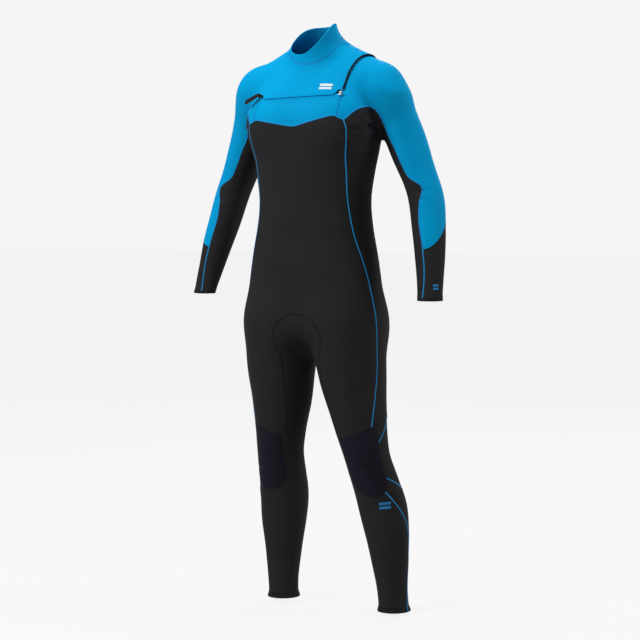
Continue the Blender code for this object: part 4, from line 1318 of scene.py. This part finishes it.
def add_seams(skin, looks):
    edges, first, second = skin.sides_of_edges()
    panel = skin.tags[:, PANEL]
    differ = panel[first] != panel[second]
    runs = {}
    for (a, b), i, j in zip(edges[differ].tolist(), first[differ], second[differ]):
        pair = tuple(sorted((panel[i], panel[j])))
        style = seam_style(*pair, (skin.points[a] + skin.points[b]) / 2)
        if style:
            flapped = [k for k in (i, j) if panel[k] not in FLAP_PANELS]
            region = skin.tags[flapped[0] if flapped else i, REGION]
            if "collar" in pair:
                region = "entry_flap"
            runs.setdefault((style, region), {}).setdefault(pair, []).append((a, b))
    for (style, region), pairs in sorted(runs.items()):
        points, faces, uv = [], [], []
        for pair in sorted(pairs):
            for run in chains(sorted(pairs[pair])):
                closed = run[0] == run[-1]
                run = run[:-1] if closed else run
                if len(run) < 3:
                    continue
                line = smooth_line(skin.shown[run], closed)
                normals = smooth_line(skin.normals[run], closed)
                line, normals, at = resampled(line, normals, closed)
                for profile in SEAM_PROFILES[style]:
                    made, quads, places = ribbon(line, normals, profile, closed, at)
                    faces += [tuple(k + len(points) for k in q) for q in quads]
                    points += list(made)
                    uv += places
        if faces:
            piece = new_object(f"seam_{style}_{region}", points, faces, [looks[style]], uv=uv)
            hang(piece, region)


def surface_at(places):
    """Shown points and normals of the suit at rough places."""
    p = onto_form(np.array(places, float), 5)
    n = normals_at(p)
    return p + n * relief(p, n)[:, None], n


def level_line(x_from, x_to, height, step=LINE_STEP):
    """A run along the front of the chest at a height, from right to left."""
    x = np.linspace(x_from, x_to, int(abs(x_to - x_from) / step) + 2)
    y = ZIP_ARC_CENTRE_Y - np.sqrt(ZIP_ARC_RADIUS**2 - x**2)
    z = height(x) if callable(height) else np.full(len(x), height)
    return surface_at(np.column_stack([x, y, z]))


def joined(parts):
    """Several meshes as one: its points and faces."""
    points, faces = [], []
    for made, quads in parts:
        faces += [tuple(k + len(points) for k in f) for f in quads]
        points += [np.array(p, float) for p in made]
    return points, faces


def solid_block(size, frame_matrix, bevel, segments):
    """Points and faces of a box with softened edges, in the given frame."""
    work = bmesh.new()
    bmesh.ops.create_cube(work, size=1.0)
    bmesh.ops.scale(work, vec=size, verts=work.verts)
    bmesh.ops.bevel(work, geom=work.edges[:], offset=bevel, segments=segments, affect="EDGES", profile=0.5)
    bmesh.ops.transform(work, matrix=frame_matrix, verts=work.verts)
    points = [v.co.copy() for v in work.verts]
    faces = [[v.index for v in f.verts] for f in work.faces]
    work.free()
    return points, faces


def zip_frame(place, lift):
    """A spot on the zip's arc, place metres from its middle: X along the zip, -Y out of the chest."""
    turn = Matrix.Rotation(place / ZIP_ARC_RADIUS, 4, "Z")
    out = Matrix.Translation((0, -ZIP_ARC_RADIUS, 0))
    tilt = Matrix.Rotation(math.radians(-ZIP_TILT), 4, "X")
    raised = Matrix.Translation((0, -lift, 0))
    return Matrix.Translation((0, ZIP_ARC_CENTRE_Y, ZIP_Z)) @ turn @ out @ tilt @ raised


def frames_along(line, normals):
    """Frames on a line: X along it, Y into the surface."""
    made = []
    for k, (p, n) in enumerate(zip(line, normals)):
        along = Vector(line[min(k + 1, len(line) - 1)] - line[max(k - 1, 0)]).normalized()
        inward = -Vector(n)
        up = along.cross(inward).normalized()
        inward = up.cross(along)
        turn = Matrix((along, inward, up)).transposed().to_4x4()
        made.append(Matrix.Translation(Vector(p)) @ turn)
    return made


TOOTH_STEP = 0.0022
TEETH_DEPTH = 0.0028
# Section of the zip's tape: across from its middle, height.
TAPE_SECTION = ((-0.0005, -0.0046), (0.0, -0.0036), (0.014, -0.0036), (0.0145, -0.0046))


def add_zip_rows(looks):
    """Tape and teeth of the zip: the lower half on the chest, the upper half on the flap."""
    for half, sign, region in (("lower", -1.0, "torso"), ("upper", 1.0, "flap")):
        line, normals = level_line(-0.113, 0.112, ZIP_Z)
        profile = [(-sign * u, h) for u, h in TAPE_SECTION]
        points, faces, uv = ribbon(line, normals, profile if sign < 0 else profile[::-1])
        piece = new_object(half + "_zip_tape_visual", points, faces, [looks["zip_tape"]], uv=uv)
        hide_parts(half + "_zip_tape")
        hang(piece, region)
        line, normals = level_line(-0.104, 0.108, ZIP_Z, TOOTH_STEP)
        line = line - normals * TEETH_DEPTH
        teeth = [
            solid_block((0.0013, 0.0022, 0.0030), m @ Matrix.Translation((0, 0, sign * 0.0013)), 0.0003, 1)
            for m in frames_along(line, normals)[half == "upper"::2]
        ]
        piece = new_object(half + "_zip_teeth", *joined(teeth), [looks["zip_coil"]])
        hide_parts(half + "_zip_coil")
        hang(piece, region)


# Blocks of the slider and of the retainer box: size, place of the middle, bevel and its segments.
SLIDER_BLOCKS = (
    ((0.0125, 0.0018, 0.0082), (0, 0.0016, 0), 0.0006, 2),
    ((0.0110, 0.0014, 0.0072), (0, -0.0012, 0), 0.0006, 2),
    ((0.0030, 0.0030, 0.0020), (-0.0020, 0, 0), 0.0003, 2),
    ((0.0075, 0.0012, 0.0018), (0.0002, -0.0034, 0.0012), 0.0005, 2),
    ((0.0012, 0.0026, 0.0018), (0.0034, -0.0026, 0.0012), 0.0003, 2),
    ((0.0012, 0.0026, 0.0018), (-0.0030, -0.0026, 0.0012), 0.0003, 2),
)
RETAINER_BLOCKS = (
    ((0.0080, 0.0034, 0.0110), (0, 0, 0), 0.0009, 3),
    ((0.0060, 0.0010, 0.0020), (0, -0.0020, 0.0028), 0.0004, 2),
    ((0.0060, 0.0010, 0.0020), (0, -0.0020, -0.0028), 0.0004, 2),
)


def blocks(place, table):
    """Points and faces of a table's blocks, in the frame of place."""
    return joined([
        solid_block(size, place @ Matrix.Translation(middle), bevel, segments)
        for size, middle, bevel, segments in table
    ])


def add_slider(looks):
    """The zip slider: body, bridge and side plates."""
    place = zip_frame(-SLIDER_REST, SLIDER_LIFT) @ Matrix.Translation((0, 0, -SLIDER_DROP))
    piece = new_object("slider_body", *blocks(place, SLIDER_BLOCKS), [looks["zip_slider_metal"]])
    bevel_shading(piece)
    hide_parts("zip_slider")
    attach(piece, "slider")


# Half the pull's width: place along it, half width.
TAB_OUTLINE = (
    (0.0, 0.0034), (0.003, 0.0046), (0.008, 0.0070), (0.012, 0.0078), (0.040, 0.0080), (0.0445, 0.0074),
    (0.046, 0.0058),
)
# Its section, from edge to edge and back: share of the half width, share of the thickness.
TAB_BULGE = 0.66
TAB_SECTION = (
    (-1.0, 0.0), (-0.86, -0.5), (-0.4, -0.62), (0.0, -TAB_BULGE), (0.4, -0.62), (0.86, -0.5),
    (1.0, 0.0), (0.86, 0.5), (0.4, 0.62), (0.0, TAB_BULGE), (-0.4, 0.62), (-0.86, 0.5),
)
TAB_RINGS = 47
RIB_PITCH = 0.0018
RIBBED = (0.014, 0.041)
GROOVE = 0.80


def add_pull_tab(looks):
    """A ribbed rubber pull that narrows at the pin, with a short crossbar there."""
    lean = Matrix.Rotation(math.radians(TAB_LEAN), 4, "Y")
    start = zip_frame(-SLIDER_REST, TAB_LIFT) @ lean
    at = np.linspace(0.0, TAB_LENGTH, TAB_RINGS)
    half = np.interp(at, *np.transpose(TAB_OUTLINE))
    thick = TAB_THICKNESS / 2 / TAB_BULGE
    points = []
    for s, w in zip(at, half):
        groove = GROOVE if RIBBED[0] < s < RIBBED[1] and int(s / RIB_PITCH) % 2 else 1.0
        points += [start @ Vector((-s, v * thick * groove, u * w)) for u, v in TAB_SECTION]
    size = len(TAB_SECTION)
    faces = [
        (i * size + (k + 1) % size, i * size + k, (i + 1) * size + k, (i + 1) * size + (k + 1) % size)
        for i in range(TAB_RINGS - 1) for k in range(size)
    ]
    faces.append(tuple(range(size)))
    faces.append(tuple(reversed(range((TAB_RINGS - 1) * size, TAB_RINGS * size))))
    crossbar = solid_block((0.0016, 0.0030, 0.0090), start @ Matrix.Translation((-0.0016, 0, 0)), 0.0005, 2)
    piece = new_object("pull_tab_rubber", *joined([(points, faces), crossbar]), [looks["pull_rubber"]])
    bevel_shading(piece)
    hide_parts("pull_tab")
    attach(piece, "pull")


def add_retainer_box(looks):
    place = zip_frame(BOX_PLACE, BOX_LIFT)
    piece = new_object("retainer_box", *blocks(place, RETAINER_BLOCKS), [looks["zip_metal"]])
    bevel_shading(piece)
    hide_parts("zip_retainer_box")
    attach(piece, "torso")


def bevel_shading(piece):
    """Crisp edges between faces that meet steeply."""
    piece.data.set_sharp_from_angle(angle=math.radians(38))


# The barrier behind the zip: half width, heights, points across and up, and how deep its two sides lie.
BARRIER_HALF_WIDTH = 0.112
BARRIER_HEIGHTS = (-0.133, -0.057)
BARRIER_COLUMNS = 41
BARRIER_ROWS = 15
BARRIER_DEPTHS = (0.0064, 0.0078)


def add_barrier(looks):
    """The thin neoprene panel behind the zip."""
    x, z = np.meshgrid(
        np.linspace(-BARRIER_HALF_WIDTH, BARRIER_HALF_WIDTH, BARRIER_COLUMNS),
        np.linspace(*BARRIER_HEIGHTS, BARRIER_ROWS),
    )
    y = ZIP_ARC_CENTRE_Y - np.sqrt(ZIP_ARC_RADIUS**2 - x**2)
    p = onto_form(np.column_stack([x.ravel(), y.ravel(), z.ravel()]), 6)
    n = normals_at(p)
    count = len(p)
    columns = BARRIER_COLUMNS
    faces = [
        (a, a + 1, a + 1 + columns, a + columns)
        for i in range(BARRIER_ROWS - 1) for a in range(i * columns, (i + 1) * columns - 1)
    ]
    faces += [tuple(k + count for k in reversed(f)) for f in faces]
    border = [*range(columns), *range(2 * columns - 1, count, columns)]
    border += [*range(count - 2, count - 1 - columns, -1), *range(count - 2 * columns, 0, -columns)]
    faces += [(b, a, a + count, b + count) for a, b in zip(border, border[1:] + border[:1])]
    sides = np.concatenate([p - n * depth for depth in BARRIER_DEPTHS])
    piece = new_object("water_barrier_panel", sides, faces, [looks["lining"]])
    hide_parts("water_barrier")
    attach(piece, "torso")


STITCH_STEP = 0.0014


def add_stitches(looks):
    """Two rows of stitching that hold the zip's lower tape, and one above the lip."""
    rows = (
        ("chest", -0.110, 0.112, lambda x: lip_line(x) - 0.008, "torso", 0.0),
        ("chest_low", -0.110, 0.112, lambda x: lip_line(x) - 0.016, "torso", 0.0),
        ("lip", -0.082, 0.104, lambda x: lip_foot(x) + 0.0045, "flap", 1.0),
    )
    for name, x_from, x_to, height, region, raised in rows:
        line, normals = level_line(x_from, x_to, height, STITCH_STEP)
        line = line + normals * (raised * lip_rise(line))[:, None]
        parts = [
            ribbon(line[k:k + 3], normals[k:k + 3], dome(0.00035, 0.00028, sink=0.0004))[:2]
            for k in range(0, len(line) - 2, 3)
        ]
        piece = new_object("stitches_" + name, *joined(parts), [looks["thread_blue"]])
        hang(piece, region)


BAR_POINTS = 64


def bar_outline(width, height):
    """Points round a bar with rounded corners, about its middle."""
    corner = height * 0.30
    turns = np.linspace(0, 2 * math.pi, 48, endpoint=False) + math.pi / 48
    across = np.sign(np.cos(turns)) * (width / 2 - corner) + corner * np.cos(turns)
    up = np.sign(np.sin(turns)) * (height / 2 - corner) + corner * np.sin(turns)
    outline = np.column_stack([across, up, np.zeros(len(turns))])
    length = np.cumsum(np.linalg.norm(outline - np.roll(outline, 1, axis=0), axis=1))
    at = np.linspace(0, length[-1], BAR_POINTS, endpoint=False)
    around = np.concatenate([outline[-1:], outline])
    return np.column_stack([np.interp(at, np.concatenate([[0.0], length]), around[:, k]) for k in (0, 1)])


def facing(normal):
    """Out of the surface, and right and up on it as seen from outside."""
    out = Vector(normal)
    right = Vector((0, 0, 1)).cross(out).normalized()
    return out, right, out.cross(right)


def add_mark(name, place, bars, lean, look, region):
    """Plain rounded bars printed on the fabric; bars lists (how far up, width, height)."""
    centre, normal = surface_at([place])
    out, right, up = facing(normal[0])
    turn = Matrix.Rotation(math.radians(lean), 3, out)
    up = turn @ up
    right = turn @ right
    parts = []
    for lift, width, height in bars:
        outline = bar_outline(width, height)
        count = BAR_POINTS
        flat = [np.zeros(2)] + [v * share_out for share_out in (0.3, 0.6, 0.85, 1.0) for v in outline]
        flat, normals = surface_at([centre[0] + np.array(right * u + up * (v + lift)) for u, v in flat])
        flat = flat + normals * (lip_rise(flat) * (region == "flap"))[:, None]
        total = len(flat)
        faces = [(0, 1 + k, 1 + (k + 1) % count) for k in range(count)]
        for a in range(1, total - count, count):
            faces += [(a + k, a + count + k, a + count + (k + 1) % count, a + (k + 1) % count)
                      for k in range(count)]
        faces += [tuple(k + total for k in reversed(f)) for f in faces]
        a = total - count
        faces += [(a + (k + 1) % count, a + k, a + k + total, a + (k + 1) % count + total)
                  for k in range(count)]
        parts.append((np.concatenate([flat + normals * PRINT_RISE, flat - normals * PRINT_SINK]), faces))
    piece = new_object(name, *joined(parts), [look])
    hang(piece, region)


# The drain holes: places across the chest, height, and the ring's section as radius and height.
DRAIN_XS = (-0.015, -0.001, 0.013)
DRAIN_Z = -0.1545
DRAIN_DROP = 0.002
DRAIN_SECTION = (
    (0.0017, -0.0004), (0.0016, 0.0004), (0.0012, 0.0006), (0.0008, 0.0003), (0.0007, -0.0004),
)
DRAIN_RADIUS = 0.0008
DRAIN_STEPS = 20
HOLE_STEPS = 16


def add_eyelets(looks):
    """Three drain holes in the chest panel, the middle one lower."""
    for number, x in enumerate(DRAIN_XS):
        centre, normal = surface_at([(x, -0.110, DRAIN_Z - DRAIN_DROP * (number == 1))])
        n, right, up = facing(normal[0])
        middle = Vector(centre[0])
        points = []
        for i in range(DRAIN_STEPS):
            t = 2 * math.pi * i / DRAIN_STEPS
            out = right * math.cos(t) + up * math.sin(t)
            points += [middle + out * r + n * h for r, h in DRAIN_SECTION]
        size = len(DRAIN_SECTION)
        faces = []
        for i in range(DRAIN_STEPS):
            a = i * size
            b = (i + 1) % DRAIN_STEPS * size
            faces += [(a + j, a + (j + 1) % size, b + (j + 1) % size, b + j) for j in range(size)]
        hole = [
            middle + (right * math.cos(t) + up * math.sin(t)) * DRAIN_RADIUS + n * 0.0001
            for t in np.linspace(0, 2 * math.pi, HOLE_STEPS, endpoint=False)
        ]
        ring = new_object(f"drain_{number}", points, faces, [looks["fine_blue"]])
        disc = new_object(f"drain_{number}_hole", hole, [tuple(range(HOLE_STEPS))], [looks["lining"]])
        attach(ring, "torso")
        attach(disc, "torso")


def set_inputs(node, **values):
    """Set inputs of a node; an underscore in a name stands for a space."""
    for name, value in values.items():
        node.inputs[name.replace("_", " ")].default_value = value
    return node


def new_look(name, **values):
    """A material, its nodes and its shader with some inputs set."""
    made = bpy.data.materials.new(name)
    made.use_nodes = True
    tree = made.node_tree
    return made, tree, set_inputs(tree.nodes["Principled BSDF"], **values)


def new_node(tree, kind, source=None, **values):
    """A shader node with some inputs set, which reads source as its place."""
    node = set_inputs(tree.nodes.new("ShaderNode" + kind), **values)
    if source is not None:
        tree.links.new(source, node.inputs["Vector"])
    return node


def shade(tree, shader, tone, ramp, height, strength, distance=0.0003):
    """Colour the shader by tone, with a ramp of two (place, colour) pairs, and bump it by height."""
    colours = tree.nodes.new("ShaderNodeValToRGB")
    for element, (place, colour) in zip(colours.color_ramp.elements, ramp):
        element.position = place
        element.color = (*colour, 1.0)
    bump = new_node(tree, "Bump", Strength=strength, Distance=distance)
    link = tree.links.new
    link(tone, colours.inputs["Fac"])
    link(colours.outputs["Color"], shader.inputs["Base Color"])
    link(height, bump.inputs["Height"])
    link(bump.outputs["Normal"], shader.inputs["Normal"])


SHEEN_GREY = (0.5, 0.5, 0.55, 1.0)


def knit(name, colour, deep, roughness, sheen, course=900.0, strength=0.28):
    """Jersey knit over foam rubber: fine rows and columns of loops, with soft changes of tone."""
    made, tree, shader = new_look(
        name, Roughness=roughness, Sheen_Weight=sheen, Sheen_Roughness=0.45, Sheen_Tint=SHEEN_GREY,
        Specular_IOR_Level=0.03,
    )
    place = tree.nodes.new("ShaderNodeTexCoord").outputs["Object"]
    broad = new_node(tree, "TexNoise", place, Scale=9.0, Detail=3.0)
    fine = new_node(tree, "TexNoise", place, Scale=620.0, Detail=2.0)
    tone = new_node(tree, "Mix", Factor=0.35)
    tree.links.new(broad.outputs["Fac"], tone.inputs["A"])
    tree.links.new(fine.outputs["Fac"], tone.inputs["B"])
    loops = tree.nodes.new("ShaderNodeMath")
    loops.operation = "ADD"
    for k, (direction, scale) in enumerate((("Z", course), ("DIAGONAL", course * 0.7))):
        wave = new_node(
            tree, "TexWave", place, Scale=scale / 20, Distortion=1.2, Detail=1.0, Detail_Scale=4.0)
        wave.bands_direction = direction
        tree.links.new(wave.outputs["Fac"], loops.inputs[k])
    ramp = ((0.32, deep), (0.68, colour))
    shade(tree, shader, tone.outputs["Result"], ramp, loops.outputs["Value"], strength)
    return made


def ladder(name, colour, deep, roughness=0.5):
    """Overlocked thread: ridges across a seam or tape."""
    made, tree, shader = new_look(name, Roughness=roughness, Specular_IOR_Level=0.12)
    place = tree.nodes.new("ShaderNodeTexCoord").outputs["UV"]
    wave = new_node(tree, "TexWave", place, Scale=70.0, Distortion=0.6)
    wave.bands_direction = "X"
    ridges = wave.outputs["Fac"]
    shade(tree, shader, ridges, ((0.0, deep), (0.5, colour)), ridges, 0.5)
    return made


def grained(name, colour, deep, roughness, metallic=0.0, scale=400.0, strength=0.15):
    """Rubber, coated metal or print with a fine grain."""
    made, tree, shader = new_look(
        name, Metallic=metallic, Roughness=roughness, Specular_IOR_Level=0.25)
    place = tree.nodes.new("ShaderNodeTexCoord").outputs["Object"]
    grain = new_node(tree, "TexNoise", place, Scale=scale, Detail=3.0).outputs["Fac"]
    shade(tree, shader, grain, ((0.35, deep), (0.65, colour)), grain, strength, 0.0002)
    return made


def make_looks():
    return {
        "blue_neoprene": knit("blue_jersey", (0.0, 0.385, 0.745), (0.0, 0.340, 0.690), 0.68, 0.0),
        "black_neoprene": knit(
            "black_jersey", (0.0275, 0.0270, 0.0290), (0.0230, 0.0225, 0.0245), 0.66, 0.01),
        "knee_pad_fabric": knit(
            "knee_fabric", (0.0175, 0.0145, 0.0255), (0.0140, 0.0115, 0.0210), 0.60, 0.02, 500.0, 0.45),
        "hem_neoprene": knit(
            "hem_jersey", (0.0215, 0.0210, 0.0230), (0.0170, 0.0165, 0.0185), 0.62, 0.02),
        # The collar's blue lining, painted brighter than the outer blue: painted light standing in for the
        # light that reaches inside the collar. The yoke's inner face uses it too.
        "painted_light_collar_lining": knit("painted_light_collar_lining", (0.010, 0.520, 0.950), (0.008, 0.460, 0.900), 0.70, 0.0),
        "lining": knit(
            "lining_fleece", (0.020, 0.020, 0.023), (0.012, 0.012, 0.014), 0.85, 0.10, 350.0, 0.5),
        "zip_tape": knit(
            "tape_weave", (0.009, 0.009, 0.011), (0.006, 0.006, 0.008), 0.6, 0.03, 1200.0, 0.5),
        "piping": ladder("piping_thread", (0.008, 0.340, 0.760), (0.005, 0.210, 0.560)),
        "fine_black": ladder("black_thread", (0.0060, 0.0058, 0.0070), (0.0025, 0.0025, 0.0030), 0.6),
        "fine_blue": ladder("blue_thread", (0.0, 0.210, 0.560), (0.0, 0.150, 0.440), 0.6),
        "collar_stitch": ladder("collar_thread", (0.0, 0.290, 0.680), (0.0, 0.220, 0.560), 0.6),
        "thread_blue": grained("zip_thread", (0.0, 0.200, 0.540), (0.0, 0.160, 0.450), 0.6),
        "zip_coil": grained("teeth_plastic", (0.016, 0.016, 0.018), (0.010, 0.010, 0.012), 0.4),
        "zip_slider_metal": grained("coated_metal", (0.030, 0.030, 0.033), (0.018, 0.018, 0.020), 0.35, 0.5),
        "zip_metal": grained("plated_metal", (0.66, 0.66, 0.68), (0.52, 0.52, 0.54), 0.28, 1.0, 900.0, 0.08),
        "pull_rubber": grained(
            "moulded_rubber", (0.010, 0.010, 0.011), (0.006, 0.006, 0.007), 0.80, 0.0, 700.0),
        "print_white": grained("white_print", (0.85, 0.87, 0.88), (0.80, 0.82, 0.84), 0.5, 0.0, 500.0, 0.05),
        "print_blue": grained(
            "blue_print", (0.010, 0.240, 0.640), (0.008, 0.200, 0.560), 0.5, 0.0, 500.0, 0.05),
    }


def add_prints(looks):
    white, blue = looks["print_white"], looks["print_blue"]
    add_mark("chest_print", (0.072, -0.072, -0.073), ((0.0055, 0.034, 0.0070), (-0.0055, 0.034, 0.0070)), -3,
             white, "flap")
    add_mark("cuff_print", (0.341, -0.006, -0.560), ((0.004, 0.014, 0.005), (-0.004, 0.014, 0.005)), 0,
             blue, "left_elbow")
    add_mark("shin_print", (0.201, -0.002, -1.103), ((0.0052, 0.030, 0.0065), (-0.0052, 0.030, 0.0065)), 6,
             blue, "left_knee")


def add_stage():
    scene = bpy.context.scene
    bpy.ops.mesh.primitive_plane_add(size=60.0, location=(0, 0, FLOOR_Z))
    floor = bpy.context.object
    floor.name = "floor"
    paint = new_look(
        "floor_paint", Base_Color=(0.06, 0.06, 0.06, 1.0), Roughness=0.95, Specular_IOR_Level=0.0,
        Emission_Color=(1.0, 1.0, 1.0, 1.0), Emission_Strength=FLOOR_GLOW,
    )
    floor.data.materials.append(paint[0])
    floor.visible_diffuse = False
    world = bpy.data.worlds.new("studio")
    world.use_nodes = True
    sky = world.node_tree
    white = (1.0, 1.0, 1.0, 1.0)
    seen = set_inputs(sky.nodes["Background"], Color=white, Strength=PAPER)
    soft = new_node(sky, "Background", Color=white, Strength=WORLD_LIGHT)
    ray = sky.nodes.new("ShaderNodeLightPath")
    either = sky.nodes.new("ShaderNodeMixShader")
    sky.links.new(ray.outputs["Is Camera Ray"], either.inputs["Fac"])
    sky.links.new(soft.outputs["Background"], either.inputs[1])
    sky.links.new(seen.outputs["Background"], either.inputs[2])
    sky.links.new(either.outputs["Shader"], sky.nodes["World Output"].inputs["Surface"])
    scene.world = world
    for name, place, size, power in LIGHTS:
        data = bpy.data.lights.new(name, "AREA")
        data.shape = "RECTANGLE"
        data.size, data.size_y = size
        data.energy = power
        lamp = bpy.data.objects.new(name, data)
        lamp.location = place
        lamp.rotation_mode = "QUATERNION"
        lamp.rotation_quaternion = (Vector((0, 0, LIGHTS_AIM_Z)) - Vector(place)).to_track_quat("-Z", "Y")
        scene.collection.objects.link(lamp)
    turn = math.radians(CAMERA_AZIMUTH)
    aside = Vector((math.cos(turn), math.sin(turn), 0)) * CAMERA_ASIDE
    data = bpy.data.cameras.new("camera")
    data.sensor_width = SENSOR
    data.lens = LENS
    camera = bpy.data.objects.new("camera", data)
    back = Vector((math.sin(turn), -math.cos(turn), 0)) * CAMERA_DISTANCE
    camera.location = back + aside + Vector((0, 0, CAMERA_Z))
    aim = aside + Vector((0, 0, AIM_Z))
    camera.rotation_mode = "QUATERNION"
    camera.rotation_quaternion = (aim - camera.location).to_track_quat("-Z", "Y")
    scene.collection.objects.link(camera)
    scene.camera = camera
    scene.view_settings.view_transform = "Standard"


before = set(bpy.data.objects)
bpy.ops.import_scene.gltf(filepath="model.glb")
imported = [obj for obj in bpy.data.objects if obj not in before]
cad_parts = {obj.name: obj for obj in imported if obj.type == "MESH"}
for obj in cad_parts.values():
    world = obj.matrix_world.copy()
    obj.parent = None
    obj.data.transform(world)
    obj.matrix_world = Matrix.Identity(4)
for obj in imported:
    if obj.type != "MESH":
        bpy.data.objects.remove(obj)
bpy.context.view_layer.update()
add_stage()
looks = make_looks()
skin = make_skin()
cut_panels(skin)
cut_regions(skin)
skin.finish_surface()
add_panels(skin, looks)
add_seams(skin, looks)
add_zip_rows(looks)
add_slider(looks)
add_pull_tab(looks)
add_retainer_box(looks)
add_barrier(looks)
add_stitches(looks)
add_eyelets(looks)
add_prints(looks)
